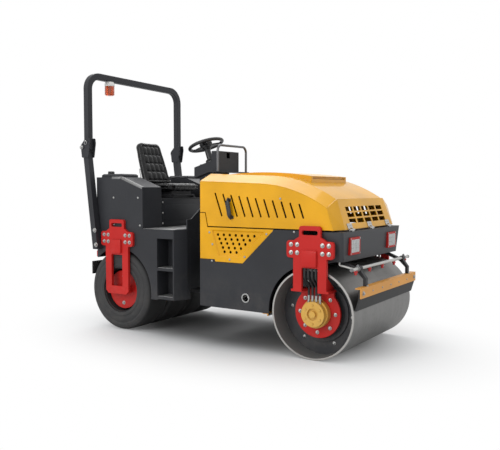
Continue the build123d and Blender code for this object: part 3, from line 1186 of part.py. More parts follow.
def rops_post(post_top, pivot):
    """The right-hand lower post: leaning tube, mounting pad, hinge cheeks and pivot pin."""
    foot = (AXLE_X + ROPS_FOOT[0], FLOOR_Z + ROPS_FOOT[1])
    knee = (AXLE_X + ROPS_KNEE[0], FLOOR_Z + ROPS_KNEE[1])
    lean = (knee[0] - foot[0]) / (knee[1] - foot[1])
    top_x = foot[0] + lean * (post_top - foot[1])
    width = ROPS_TUBE * math.hypot(1, lean)
    half = ROPS_TUBE / 2
    wall = ROPS_WALL
    post = polygon(foot, (top_x, post_top), (top_x + width, post_top), (foot[0] + width, foot[1]))
    core = polygon((foot[0] + wall, foot[1] - 1), (top_x + wall, post_top - wall),
                   (top_x + width - wall, post_top - wall),
                   (foot[0] + width - wall, foot[1] - 1))
    solid = slab_xz(post, -ROPS_Y - half, -ROPS_Y + half) - slab_xz(core, -ROPS_Y - half + wall,
                                                                    -ROPS_Y + half - wall)
    pad_x = foot[0] + 8
    pad = polygon((pad_x, foot[1] + 15), (pad_x + 46, foot[1] + 15), (pad_x + 32, foot[1] + 185),
                  (pad_x - 6, foot[1] + 185))
    solid += slab_xz(pad, -ROPS_Y + half, -REAR_Y)
    wide, tall = ROPS_CHEEK_SIZE
    rear = knee[0] - 12
    cheek = polygon((rear, knee[1]), (rear + 84, knee[1]), (rear + wide + 6, knee[1] + 135),
                    (rear + wide, knee[1] + tall),
                    (rear + 49, knee[1] + tall), (rear - 14, knee[1] + 115))
    cheek = fillet(cheek.vertices(), 12) + disc(pivot[0], pivot[1], ROPS_BOSS)
    shim = polygon((knee[0] - 4, knee[1] + 2), (knee[0] + width - 6, knee[1] + 2),
                   (top_x + width - 4, post_top), (top_x + 4, post_top))
    for side in (-1, 1):
        inner = ROPS_Y + side * half
        near = inner + side * ROPS_SIDE_GAP
        far = near + side * ROPS_CHEEK
        solid += slab_xz(shim, *sorted((-inner, -near)))
        solid += slab_xz(cheek, *sorted((-near, -far)))
    reach = half + ROPS_SIDE_GAP + ROPS_CHEEK
    return solid + rod_y(pivot[0], pivot[1], ROPS_PIN, -ROPS_Y - reach - 5, -ROPS_Y + reach)


def rops_nodes():
    """Lower posts, the folding hoop and its hanging beacon."""
    post_top = FLOOR_Z + ROPS_POST_TOP
    pivot = (AXLE_X + ROPS_PIVOT[0], FLOOR_Z + ROPS_PIVOT[1])
    save("rops_posts", both_sides(rops_post(post_top, pivot)))
    x = AXLE_X + ROPS_X
    half = ROPS_TUBE / 2
    low = post_top + ROPS_HOOP_GAP
    top = FLOOR_Z + ROPS_TOP
    path = FilletPolyline((x, -ROPS_Y, low), (x, -ROPS_Y, top - half), (x, ROPS_Y, top - half),
                          (x, ROPS_Y, low),
                          radius=ROPS_BEND)
    inside = ROPS_TUBE - 2 * ROPS_WALL
    ring = RectangleRounded(ROPS_TUBE, ROPS_TUBE, ROPS_ROUND) - RectangleRounded(inside, inside,
                                                                                 ROPS_ROUND / 2)
    hoop = tube_along(path, ring)
    ear = disc(pivot[0], pivot[1], ROPS_EAR)
    ear += rectangle(pivot[0], x - half + 2, pivot[1] - ROPS_EAR, pivot[1] + ROPS_EAR)
    ear -= disc(pivot[0], pivot[1], ROPS_PIN + RUNNING_GAP)
    lug = slab_xz(ear, -ROPS_Y - half / 1.5, -ROPS_Y + half / 1.5)
    save("rops_hoop", hoop + lug + flip(lug))
    under = top - ROPS_TUBE
    save("beacon_base", rod_z(x, BEACON_Y, BEACON_RADIUS + 2, under - BEACON_BASE, under))
    lens = rod_z(x, BEACON_Y, BEACON_RADIUS, under - BEACON_BASE - BEACON_LENS, under - BEACON_BASE)
    save("beacon_lens", fillet(lens.edges().group_by(Axis.Z)[0], BEACON_RADIUS / 2))


def main():
    """Builds every node of the machine."""
    os.makedirs("parts", exist_ok=True)
    drum_nodes()
    drum_carrier_nodes()
    front_frame_nodes()
    beam_nodes()
    bonnet_nodes()
    scraper_nodes()
    rear_frame_nodes()
    station_nodes()
    ram_nodes()
    wheel_nodes()
    console_nodes()
    seat_nodes()
    rops_nodes()


main()
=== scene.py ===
"""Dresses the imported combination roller: finishes, fasteners, pads, tyres, lamps and the studio round it."""
from __future__ import annotations

import json
import logging
import math
from collections.abc import Sequence
from dataclasses import dataclass
from enum import Enum

import bmesh
import bpy
from mathutils import Matrix, Vector


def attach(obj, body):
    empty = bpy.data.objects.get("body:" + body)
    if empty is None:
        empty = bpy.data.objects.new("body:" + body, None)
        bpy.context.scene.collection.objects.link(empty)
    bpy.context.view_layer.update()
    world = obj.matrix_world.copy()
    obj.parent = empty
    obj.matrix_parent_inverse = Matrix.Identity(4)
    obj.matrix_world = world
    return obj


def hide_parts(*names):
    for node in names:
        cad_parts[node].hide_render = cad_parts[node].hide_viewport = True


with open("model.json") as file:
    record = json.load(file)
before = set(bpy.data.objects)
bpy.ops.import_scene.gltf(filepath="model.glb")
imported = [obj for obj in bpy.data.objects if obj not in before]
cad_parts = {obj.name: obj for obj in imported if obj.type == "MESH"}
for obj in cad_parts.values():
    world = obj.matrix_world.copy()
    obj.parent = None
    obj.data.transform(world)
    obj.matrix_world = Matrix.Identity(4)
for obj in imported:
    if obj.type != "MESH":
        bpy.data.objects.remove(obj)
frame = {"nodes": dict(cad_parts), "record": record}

LOG = logging.getLogger("roller")
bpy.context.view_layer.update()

Point = tuple[float, float, float]
Colour = tuple[float, float, float]
Spot = tuple[float, float]
Bolt = tuple[Point, Point, float, float]
Screw = tuple[Point, Point, float]
SIDES = (-1.0, 1.0)

# Places shared by several sub-assemblies, in metres.
DRUM_X, DRUM_Z = 1.0, 0.35
AXLE_X, AXLE_Z = -1.0, 0.37
PLATE_Y = 0.635


class Body(Enum):
    """The moving bodies that pieces ride on."""

    FRONT = "front_frame"
    BONNET = "bonnet"
    DRUM = "drum"
    REAR = "rear_frame"
    STEERING = "steering_wheel"
    HOOP = "rops_hoop"
    WHEELS = "rear_wheels"


class Sig:
    """A node socket that takes part in shader arithmetic."""

    def __init__(self, net: "Net", socket: bpy.types.NodeSocket) -> None:
        """Keeps the socket and the net that it belongs to."""
        self.net = net
        self.socket = socket

    def _math(self, operation: str, first: "Sig | float", second: "Sig | float" = 0.0) -> "Sig":
        """Adds one Math node on two values."""
        return self.net.node("ShaderNodeMath", {"operation": operation}, {0: first, 1: second})

    def __add__(self, other: "Sig | float") -> "Sig":
        """Sum."""
        return self._math("ADD", self, other)

    __radd__ = __add__

    def __sub__(self, other: "Sig | float") -> "Sig":
        """Difference."""
        return self._math("SUBTRACT", self, other)

    def __rsub__(self, other: "Sig | float") -> "Sig":
        """Difference from a number."""
        return self._math("SUBTRACT", other, self)

    def __mul__(self, other: "Sig | float") -> "Sig":
        """Product."""
        return self._math("MULTIPLY", self, other)

    __rmul__ = __mul__

    def __pow__(self, other: float) -> "Sig":
        """Power."""
        return self._math("POWER", self, other)

    def __abs__(self) -> "Sig":
        """Size without sign."""
        return self._math("ABSOLUTE", self)

    def most(self, other: "Sig | float") -> "Sig":
        """The larger of two values."""
        return self._math("MAXIMUM", self, other)

    def sine(self) -> "Sig":
        """Sine of the value in radians."""
        return self._math("SINE", self)

    def angle(self, other: "Sig") -> "Sig":
        """Angle whose tangent is this value over the other."""
        return self._math("ARCTAN2", self, other)

    def band(self, low: float, high: float) -> "Sig":
        """Smooth step from 0 at low to 1 at high."""
        return self.net.node("ShaderNodeMapRange", {"interpolation_type": "SMOOTHSTEP"},
                             {"Value": self, "From Min": low, "From Max": high})


class Net:
    """The node net of a material, which ends in a Principled shader, or of the world."""

    def __init__(self, name: str, world: bool = False) -> None:
        """Starts a net with its output, and in a material with a Principled shader."""
        self.material = (bpy.data.worlds if world else bpy.data.materials).new(name)
        self.material.use_nodes = True
        self.tree = self.material.node_tree
        self.tree.nodes.clear()
        self.output = self.tree.nodes.new("ShaderNodeOutputWorld" if world else "ShaderNodeOutputMaterial")
        if not world:
            self.shader = self.tree.nodes.new("ShaderNodeBsdfPrincipled")
            self.tree.links.new(self.shader.outputs[0], self.output.inputs[0])

    def put(self, target: bpy.types.NodeSocket, value: object) -> None:
        """Links a signal to a socket, or sets a plain value on it.

        Args:
            target: the input socket.
            value: a signal, a number, or a tuple.
        """
        if isinstance(value, Sig):
            self.tree.links.new(value.socket, target)
        elif isinstance(value, tuple) and len(value) == 3 and target.type == "RGBA":
            target.default_value = (*value, 1.0)
        else:
            target.default_value = value

    def node(self, kind: str, settings: dict, sockets: dict, out: int | str = 0) -> Sig:
        """Adds a node.

        Args:
            kind: the node's type.
            settings: attributes, which are set first.
            sockets: values or signals by socket name or index.
            out: which output is returned.

        Returns:
            The chosen output.
        """
        made = self.tree.nodes.new(kind)
        for key, value in settings.items():
            setattr(made, key, value)
        for key, value in sockets.items():
            self.put(made.inputs[key], value)
        return Sig(self, made.outputs[out])

    def coords(self) -> Sig:
        """Object coordinates."""
        return self.node("ShaderNodeTexCoord", {}, {}, "Object")

    def axes(self) -> tuple[Sig, Sig, Sig]:
        """The x, y and z of the Object coordinates."""
        made = self.tree.nodes.new("ShaderNodeSeparateXYZ")
        self.put(made.inputs[0], self.coords())
        return tuple(Sig(self, socket) for socket in made.outputs)

    def vector(self, x: Sig | float, y: Sig | float, z: Sig | float) -> Sig:
        """A vector from three values."""
        return self.node("ShaderNodeCombineXYZ", {}, {0: x, 1: y, 2: z})

    def noise(self, place: Sig, scale: float, detail: float = 3.0, roughness: float = 0.55) -> Sig:
        """Cloudy noise from 0 to 1."""
        return self.node("ShaderNodeTexNoise", {}, {"Vector": place, "Scale": scale, "Detail": detail,
                                                    "Roughness": roughness})

    def cells(self, place: Sig, scale: float) -> Sig:
        """Distance to the nearest cell centre."""
        return self.node("ShaderNodeTexVoronoi", {}, {"Vector": place, "Scale": scale})

    def mix(self, share: Sig | float, first: Sig | Colour, second: Sig | Colour) -> Sig:
        """Blend of two colours."""
        return self.node("ShaderNodeMix", {"data_type": "RGBA"}, {0: share, 6: first, 7: second}, 2)

    def bump(self, height: Sig, strength: float, distance: float, under: Sig | None = None) -> Sig:
        """A bumped normal.

        Args:
            height: the height signal.
            strength: share of the effect.
            distance: height of the bumps in metres.
            under: a normal that the bumps stand on.

        Returns:
            The normal.
        """
        sockets = {"Height": height, "Strength": strength, "Distance": distance}
        if under is not None:
            sockets["Normal"] = under
        return self.node("ShaderNodeBump", {}, sockets)

    def soft_edges(self, radius: float) -> Sig:
        """A normal that turns smoothly over sharp edges."""
        return self.node("ShaderNodeBevel", {"samples": 4}, {"Radius": radius})

    def finish(self, **sockets: object) -> bpy.types.Material:
        """Sets the Principled shader's sockets, with spaces written as underscores.

        Args:
            sockets: values or signals by socket name.

        Returns:
            The material.
        """
        for key, value in sockets.items():
            self.put(self.shader.inputs[key.replace("_", " ")], value)
        return self.material


def shade(colour: Colour, share: float, lift: float = 0.0) -> Colour:
    """A colour made darker or paler."""
    return tuple(min(1.0, channel * share + lift) for channel in colour)


@dataclass(frozen=True)
class Paint:
    """Sprayed paint: cloudy tone, orange peel, road dust low down and small chips."""

    colour: Colour
    rough: float = 0.35
    coat: float = 0.0
    peel: float = 0.0004
    grain: float = 380.0
    dust: float = 0.3
    specular: float = 0.5
    edge: float = 0.004

    def material(self, name: str) -> bpy.types.Material:
        """Builds the node net."""
        net = Net(name)
        place = net.coords()
        height = net.axes()[2]
        cloud = net.noise(place, 1.7, 4.0)
        speck = net.noise(place, 60.0, 5.0, 0.7)
        chip = net.noise(place, 23.0, 6.0, 0.62).band(0.73, 0.76)
        low = 1.0 - height.band(0.05, 0.75)
        dust = low * net.noise(place, 6.0, 5.0, 0.65).band(0.38, 0.75) * self.dust
        tone = net.mix(cloud.band(0.3, 0.7), shade(self.colour, 0.86), shade(self.colour, 1.06, 0.002))
        tone = net.mix(speck.band(0.62, 0.8) * 0.12, tone, shade(self.colour, 0.6))
        tone = net.mix(chip * 0.25, tone, shade(self.colour, 0.5))
        tone = net.mix(dust, tone, (0.33, 0.29, 0.24))
        rough = self.rough + (cloud - 0.5) * 0.12 + (speck - 0.5) * 0.08 + dust * 0.35
        normal = net.bump(net.noise(place, self.grain, 2.0), 0.5, self.peel, net.soft_edges(self.edge))
        return net.finish(Base_Color=tone, Roughness=rough, Coat_Weight=self.coat, Coat_Roughness=0.08,
                          Specular_IOR_Level=self.specular, Normal=normal)


@dataclass(frozen=True)
class Metal:
    """Bare or plated metal with fine scratches, smears and a little tarnish."""

    colour: Colour
    rough: float = 0.32
    tarnish: Colour = (0.16, 0.14, 0.12)
    scratch: float = 0.0002

    def material(self, name: str) -> bpy.types.Material:
        """Builds the node net."""
        net = Net(name)
        place = net.coords()
        cloud = net.noise(place, 9.0, 5.0, 0.6)
        streak = net.noise(net.node("ShaderNodeMapping", {}, {"Vector": place, "Scale": (40.0, 40.0, 900.0)}), 1.0, 3.0)
        tone = net.mix(cloud.band(0.55, 0.85) * 0.45, self.colour, self.tarnish)
        rough = self.rough + (streak - 0.5) * 0.25 + cloud.band(0.5, 0.9) * 0.2
        normal = net.bump(streak, 0.4, self.scratch, net.soft_edges(0.0015))
        return net.finish(Base_Color=tone, Metallic=1.0, Roughness=rough, Normal=normal)


@dataclass(frozen=True)
class RolledSteel:
    """The drum's steel, polished round by rolling, with faint bands and scuffs."""

    colour: Colour = (0.27, 0.267, 0.26)
    dark: Colour = (0.165, 0.162, 0.158)
    bore_paint_and_painted_light: Colour = (0.135, 0.134, 0.130)
    rim: Colour = (0.46, 0.45, 0.43)
    bore: float = 0.334
    half: float = 0.600

    def material(self, name: str) -> bpy.types.Material:
        """Builds the node net: bore painted grey and lightened as painted light in its shade, bare shell and lighter
        ends.
        """
        net = Net(name)
        x, y, z = net.axes()
        turn = (z - DRUM_Z).angle(x - DRUM_X)
        reach = ((x - DRUM_X) ** 2.0 + (z - DRUM_Z) ** 2.0) ** 0.5
        inside = 1.0 - reach.band(self.bore + 0.0008, self.bore + 0.0018)
        ends = abs(y).band(self.half - 0.0045, self.half - 0.0035)
        round_way = net.vector(y * 130.0, turn * 1.6, 0.0)
        lines = net.noise(round_way, 1.0, 6.0, 0.7)
        bands = net.noise(net.vector(y * 9.0, turn * 0.7, 3.0), 1.0, 3.0)
        scuffs = net.noise(net.coords(), 26.0, 6.0, 0.72)
        worn = bands.band(0.3, 0.75) * 0.25 + lines * 0.3 + scuffs.band(0.5, 0.8) * 0.2
        tone = net.mix(worn, self.colour, self.dark)
        tone = net.mix(scuffs.band(0.66, 0.74) * 0.2, tone, (0.2, 0.16, 0.12))
        rough = 0.50 + (lines - 0.5) * 0.2 + scuffs.band(0.5, 0.8) * 0.12
        normal = net.bump(lines, 0.35, 0.0005, net.soft_edges(0.003))
        # The bore gets non-metallic grey paint, lightened as painted light where the drum's inside lies in shade.
        tone = net.mix(inside, tone, self.bore_paint_and_painted_light)
        # The end faces are lighter than the shell.
        tone = net.mix(ends * 0.85, tone, self.rim)
        return net.finish(Base_Color=tone, Metallic=1.0 - inside, Roughness=rough, Normal=normal)


@dataclass(frozen=True)
class Rubber:
    """Rubber with a matt bloom, fine ribs of grain and dust."""

    colour: Colour
    rough: float = 0.72
    bloom: Colour = (0.10, 0.098, 0.093)
    dust: float = 0.35
    ring_centre: Spot | None = None

    def material(self, name: str) -> bpy.types.Material:
        """Builds the node net; on a tyre the rings run round its axle."""
        net = Net(name)
        place = net.coords()
        x, _, z = net.axes()
        cloud = net.noise(place, 5.0, 5.0, 0.6)
        grain = net.noise(place, 420.0, 2.0)
        tone = net.mix(cloud.band(0.3, 0.75) * 0.55, self.colour, self.bloom)
        dust = (1.0 - z.band(0.02, 0.5)) * net.noise(place, 11.0, 5.0, 0.7).band(0.42, 0.72) * self.dust
        tone = net.mix(dust, tone, (0.24, 0.215, 0.185))
        height = grain * 0.4
        if self.ring_centre is not None:
            across = x - self.ring_centre[0]
            up = z - self.ring_centre[1]
            radius = (across * across + up * up) ** 0.5
            height = height + (radius * 1900.0).sine() * 0.3
            tone = net.mix(radius.band(0.350, 0.366) * 0.9, tone, (0.005, 0.005, 0.005))
        rough = self.rough + (cloud - 0.5) * 0.2 + dust * 0.2
        normal = net.bump(height, 0.5, 0.0006, net.soft_edges(0.003))
        return net.finish(Base_Color=tone, Roughness=rough, Specular_IOR_Level=0.4, Normal=normal)


@dataclass(frozen=True)
class Plastic:
    """Moulded plastic with a pebbled skin and slight sheen changes."""

    colour: Colour
    rough: float = 0.45
    pebble: float = 0.0003
    coat: float = 0.0
    edge: float = 0.002

    def material(self, name: str) -> bpy.types.Material:
        """Builds the node net."""
        net = Net(name)
        place = net.coords()
        cloud = net.noise(place, 7.0, 4.0)
        tone = net.mix(cloud.band(0.35, 0.75) * 0.6, self.colour, shade(self.colour, 1.25, 0.004))
        rough = self.rough + (cloud - 0.5) * 0.16
        normal = net.bump(net.cells(place, 520.0), 0.4, self.pebble, net.soft_edges(self.edge))
        return net.finish(Base_Color=tone, Roughness=rough, Coat_Weight=self.coat, Normal=normal)


@dataclass(frozen=True)
class Lens:
    """Tinted lamp plastic that lets light in, with a dusty film and, where flutes are asked for, painted light and
    shade in upright stripes.
    """

    colour: Colour
    clear: float = 0.5
    rough: float = 0.12
    flutes: float = 0.0

    def material(self, name: str) -> bpy.types.Material:
        """Builds the node net."""
        net = Net(name)
        place = net.coords()
        film = net.noise(place, 30.0, 5.0, 0.6)
        tone = net.mix(film.band(0.5, 0.8) * 0.4, self.colour, shade(self.colour, 0.5, 0.12))
        # Painted light and shade: upright stripes at the flutes' pitch, darker between, stand in for the light and
        # shade that the lens's flutes show.
        if self.flutes:
            across = (net.axes()[1] * (math.tau / self.flutes)).sine()
            tone = net.mix(across.band(-0.6, 0.7), shade(self.colour, 0.42), tone)
        rough = self.rough + film.band(0.45, 0.85) * 0.2
        normal = net.bump(net.noise(place, 300.0, 2.0), 0.2, 0.0002)
        return net.finish(Base_Color=tone, Roughness=rough, Transmission_Weight=self.clear, IOR=1.47,
                          Coat_Weight=0.4, Coat_Roughness=0.06, Normal=normal)


@dataclass(frozen=True)
class Vinyl:
    """Seat vinyl: creased leather grain with a soft sheen on the high spots."""

    colour: Colour = (0.006, 0.006, 0.0065)
    worn: Colour = (0.012, 0.012, 0.012)

    def material(self, name: str) -> bpy.types.Material:
        """Builds the node net."""
        net = Net(name)
        place = net.coords()
        warp = net.noise(place, 90.0, 3.0)
        crease = net.node("ShaderNodeTexVoronoi", {"feature": "DISTANCE_TO_EDGE"},
                          {"Vector": place, "Scale": 330.0, "Randomness": 1.0})
        cloud = net.noise(place, 14.0, 4.0)
        tone = net.mix(cloud.band(0.4, 0.75) * 0.7, self.colour, self.worn)
        rough = 0.27 + (cloud - 0.5) * 0.14 + (warp - 0.5) * 0.08
        normal = net.bump(crease.band(0.0, 0.16) + warp * 0.4, 0.35, 0.00025)
        return net.finish(Base_Color=tone, Roughness=rough, Specular_IOR_Level=0.3, Normal=normal)


@dataclass(frozen=True)
class TreadPlate:
    """Chequered metal plate with raised lozenges and trodden dirt."""

    colour: Colour = (0.42, 0.42, 0.42)
    pitch: float = 120.0

    def material(self, name: str) -> bpy.types.Material:
        """Builds the node net."""
        net = Net(name)
        place = net.coords()
        x, y, _ = net.axes()
        first = (x * self.pitch).sine() * (y * self.pitch).sine()
        lozenge = abs(first).band(0.35, 0.6)
        dirt = net.noise(place, 12.0, 5.0, 0.65)
        tone = net.mix(dirt.band(0.45, 0.75) * 0.6, self.colour, (0.20, 0.19, 0.175))
        tone = net.mix(lozenge * 0.35, tone, (0.62, 0.62, 0.62))
        rough = 0.42 + (dirt - 0.5) * 0.3 - lozenge * 0.1
        normal = net.bump(lozenge, 0.8, 0.0016, net.soft_edges(0.002))
        return net.finish(Base_Color=tone, Metallic=0.8, Roughness=rough, Normal=normal)


class Finishes:
    """Every finish of the machine, each built once."""

    made: dict[str, bpy.types.Material] = {}
    # The drum heads and the front beam take grey paint made paler: painted light, so that they read lighter than the
    # frame's grey.
    own = {"guard_rail": "rail_steel", "drum_heads": "pale_grey_paint", "front_beam": "pale_grey_paint",
           "spray_bar": "pipe_plastic"}

    @classmethod
    def build(cls) -> None:
        """Builds the materials by record slot, with a few more for small pieces."""
        table = {
            "yellow_paint": Paint((0.77, 0.375, 0.006), 0.36, 0.45, 0.0002, 300.0, 0.2, 0.08),
            "grey_paint": Paint((0.026, 0.027, 0.031), 0.46, 0.0, 0.0005, 520.0, 0.12, 0.26),
            # Grey paint made paler, as painted light for the drum heads and the front beam.
            "pale_grey_paint": Paint((0.048, 0.049, 0.053), 0.46, 0.0, 0.0005, 520.0, 0.12, 0.26),
            "red_paint": Paint((0.50, 0.013, 0.010), 0.46, 0.05, 0.0004, 340.0, 0.10, 0.22),
            "gold_casting": Paint((0.66, 0.38, 0.07), 0.42, 0.1, 0.0011, 150.0, 0.15, 0.3),
            "tan_steel": Paint((0.72, 0.33, 0.065), 0.45, 0.05, 0.0005, 260.0, 0.12, 0.2),
            "drum_steel": RolledSteel(),
            "bright_steel": Metal((0.43, 0.43, 0.42), 0.30, (0.22, 0.21, 0.20)),
            "dark_steel": Paint((0.024, 0.024, 0.026), 0.52, 0.0, 0.0006, 190.0, 0.05, 0.3),
            "black_plastic": Plastic((0.016, 0.016, 0.017), 0.42),
            "white_plastic": Plastic((0.70, 0.69, 0.66), 0.35, 0.0002, 0.2),
            "pipe_plastic": Plastic((0.47, 0.465, 0.44), 0.4, 0.0002, 0.2),
            "orange_lens": Lens((0.62, 0.085, 0.010), 0.75),
            "red_lens": Lens((0.62, 0.016, 0.012), 0.2),
            "lamp_glass": Lens((0.66, 0.66, 0.65), 0.15, 0.2, 0.0282),
            "tyre_rubber": Rubber((0.028, 0.028, 0.029), 0.70, (0.052, 0.051, 0.050), 0.10,
                                  (AXLE_X, AXLE_Z)),
            "black_rubber": Rubber((0.020, 0.020, 0.020), 0.62, (0.045, 0.044, 0.043), 0.2),
            "seat_vinyl": Vinyl(),
            "tread_plate": TreadPlate(),
            "grip_strip": Metal((0.24, 0.24, 0.24), 0.55, (0.16, 0.16, 0.16), 0.001),
            "gauge_face": Plastic((0.01, 0.01, 0.011), 0.25, 0.0001, 0.6),
            "red_plastic": Plastic((0.56, 0.012, 0.01), 0.3, 0.0002, 0.3),
            "rail_steel": Metal((0.15, 0.15, 0.155), 0.36, (0.08, 0.08, 0.08)),
            "grey_plastic": Plastic((0.17, 0.17, 0.17), 0.5),
        }
        cls.made.update({slot: finish.material(slot + "_finish") for slot, finish in table.items()})

    @classmethod
    def dress_nodes(cls) -> None:
        """Gives every CAD node the finish of its record slot, or its own one."""
        for row in frame["record"]["subparts"]:
            node = frame["nodes"][row["node"]]
            material = cls.made[cls.own.get(row["node"], row["material_slot"])]
            if node.material_slots:
                for place in node.material_slots:
                    place.material = material
            else:
                node.data.materials.append(material)


def placed(name: str, data: bpy.types.ID) -> bpy.types.Object:
    """A new object in the scene."""
    made = bpy.data.objects.new(name, data)
    bpy.context.scene.collection.objects.link(made)
    return made


def turned_to(axis: Vector) -> Matrix:
    """Rotation that turns +Z to an axis."""
    return Vector((0.0, 0.0, 1.0)).rotation_difference(axis.normalized()).to_matrix().to_4x4()


def rounded_loop(half_x: float, half_y: float, radius: float, steps: int) -> list[Spot]:
    """Points round a rectangle with rounded corners.

    Args:
        half_x: half of its length.
        half_y: half of its width.
        radius: radius of its corners.
        steps: parts of each corner.

    Returns:
        The points in order.
    """
    points = []
    for index, (sx, sy) in enumerate(((1, 1), (-1, 1), (-1, -1), (1, -1))):
        for step in range(steps + 1):
            turn = math.radians(90.0 * index + 90.0 * step / steps)
            points.append((sx * (half_x - radius) + radius * math.cos(turn),
                           sy * (half_y - radius) + radius * math.sin(turn)))
    return points


class Shape:
    """A bmesh that grows by operators and becomes one piece of the scene."""

    def __init__(self) -> None:
        """Starts empty."""
        self.bm = bmesh.new()

    def soften(self, verts: list, width: float, segments: int = 2) -> None:
        """Bevels the sharp edges among some vertices."""
        edges = {edge for vert in verts for edge in vert.link_edges if edge.calc_face_angle(0.0) > 0.5}
        bmesh.ops.bevel(self.bm, geom=list(edges), offset=width, offset_type="OFFSET", affect="EDGES",
                        segments=segments, profile=0.5, material=-1, clamp_overlap=True)

    def box(self, low: Point, high: Point, bevel: float = 0.0, turn: Matrix | None = None) -> None:
        """A box between two corners.

        Args:
            low: lowest corner.
            high: highest corner.
            bevel: width of its rounded edges.
            turn: a further transform of the whole box.
        """
        size = Vector(high) - Vector(low)
        middle = (Vector(high) + Vector(low)) / 2
        matrix = (turn or Matrix()) @ Matrix.Translation(middle) @ Matrix.Diagonal((*size, 1.0))
        made = bmesh.ops.create_cube(self.bm, size=1.0, matrix=matrix)
        if bevel:
            self.soften(made["verts"], bevel)

    def side_box(self, side: float, low: Point, high: Point, bevel: float, turn: Matrix | None = None) -> None:
        """A box given for the left side, on the side that is asked for."""
        near, far = sorted((side * low[1], side * high[1]))
        self.box((low[0], near, low[2]), (high[0], far, high[2]), bevel, turn)

    def rod(self, start: Point, end: Point, radius: float, sides: int = 24, bevel: float = 0.0,
            top: float | None = None) -> None:
        """A round bar or cone between two points.

        Args:
            start: middle of the first end.
            end: middle of the second end.
            radius: radius at the start.
            sides: number of sides.
            bevel: width of the rounded rims.
            top: radius at the end, if it differs.
        """
        way = Vector(end) - Vector(start)
        matrix = Matrix.Translation((Vector(start) + Vector(end)) / 2) @ turned_to(way)
        made = bmesh.ops.create_cone(self.bm, cap_ends=True, cap_tris=False, segments=sides, radius1=radius,
                                     radius2=radius if top is None else top, depth=way.length, matrix=matrix)
        if bevel:
            self.soften(made["verts"], bevel)

    def bolt(self, seat: Point, axis: Point, radius: float, height: float, washer: float = 1.45) -> None:
        """A hexagon bolt head with its washer.

        Args:
            seat: where the washer lies.
            axis: the way the head points.
            radius: radius of the head's corners.
            height: height of the head.
            washer: the washer's radius as a multiple of the head's.
        """
        way = Vector(axis).normalized()
        base = Vector(seat)
        thick = height * 0.22
        self.rod(base, base + way * thick, radius * washer, 20, thick * 0.25)
        self.rod(base + way * thick, base + way * (thick + height), radius, 6, height * 0.16)
        self.rod(base + way * (thick + height), base + way * (thick + height * 1.18), radius * 0.55, 14, height * 0.05)

    def screw(self, seat: Point, axis: Point, radius: float) -> None:
        """A domed screw head with a socket."""
        way = Vector(axis).normalized()
        base = Vector(seat)
        self.rod(base, base + way * radius * 0.35, radius, 18, 0.0, radius * 0.95)
        self.rod(base + way * radius * 0.35, base + way * radius * 0.75, radius * 0.95, 18, 0.0, radius * 0.5)
        self.rod(base + way * radius * 0.75, base + way * radius * 0.8, radius * 0.32, 6)

    def tube(self, points: list[Point], radius: float, sides: int = 14, flat: float = 1.0,
             closed: bool = False) -> None:
        """A tube through points, from rings joined by bridging.

        Args:
            points: the middle line.
            radius: the tube's radius.
            sides: sides of each ring.
            flat: squash of the section along its second axis.
            closed: whether the last ring joins the first.
        """
        line = [Vector(point) for point in points]
        rings = []
        up = Vector((0.0, 0.0, 1.0))
        count = len(line)
        for index, point in enumerate(line):
            after = line[(index + 1) % count if closed else min(index + 1, count - 1)]
            way = (after - line[index - 1 if closed else max(index - 1, 0)]).normalized()
            side = way.cross(up if abs(way.z) < 0.9 else Vector((1.0, 0.0, 0.0))).normalized()
            over = side.cross(way)
            matrix = Matrix((side, over * flat, way)).transposed().to_4x4()
            matrix.translation = point
            ends = not closed and index in (0, count - 1)
            made = bmesh.ops.create_circle(self.bm, cap_ends=ends, segments=sides, radius=radius, matrix=matrix)
            edges = {edge for vert in made["verts"] for edge in vert.link_edges}
            rings.append(list(edges))
        pairs = list(zip(rings, rings[1:]))
        if closed:
            pairs.append((rings[-1], rings[0]))
        for first, second in pairs:
            bmesh.ops.bridge_loops(self.bm, edges=first + second)

    def spun(self, profile: list[Spot], centre: Point, axis: Point, steps: int, closed: bool = True) -> None:
        """A turned shape.

        Args:
            profile: (radius, distance along the axis) pairs.
            centre: a point on the axis.
            axis: the axis of turning.
            steps: sides of the turned shape.
            closed: whether the profile's last point joins its first.
        """
        way = Vector(axis).normalized()
        out = way.orthogonal().normalized()
        verts = [self.bm.verts.new(Vector(centre) + out * r + way * a) for r, a in profile]
        pairs = list(zip(verts, verts[1:]))
        if closed:
            pairs.append((verts[-1], verts[0]))
        edges = [self.bm.edges.new(pair) for pair in pairs]
        bmesh.ops.spin(self.bm, geom=verts + edges, cent=centre, axis=way, dvec=(0.0, 0.0, 0.0),
                       angle=2.0 * math.pi, steps=steps, use_merge=True)
        bmesh.ops.remove_doubles(self.bm, verts=self.bm.verts, dist=1e-6)

    def piece(self, name: str, body: Body, slot: str, finish: str = "", crisp: float = 35.0,
              replaces: str = "") -> None:
        """Ends the bmesh as an object that rides on a body.

        Args:
            name: the piece's name.
            body: the body it rides on.
            slot: the record's material slot.
            finish: its finish, where that isn't the slot's own.
            crisp: edges sharper than this many degrees stay sharp.
            replaces: the CAD node that it stands for.
        """
        bmesh.ops.recalc_face_normals(self.bm, faces=self.bm.faces)
        mesh = bpy.data.meshes.new(name)
        for face in self.bm.faces:
            face.smooth = True
        self.bm.to_mesh(mesh)
        self.bm.free()
        mesh.set_sharp_from_angle(angle=math.radians(crisp))
        mesh.materials.append(Finishes.made[finish or slot])
        made = placed(name, mesh)
        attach(made, body.value)
        if replaces:
            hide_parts(replaces)
        LOG.info("%s rides on %s, %d faces", name, body.value, len(mesh.polygons))


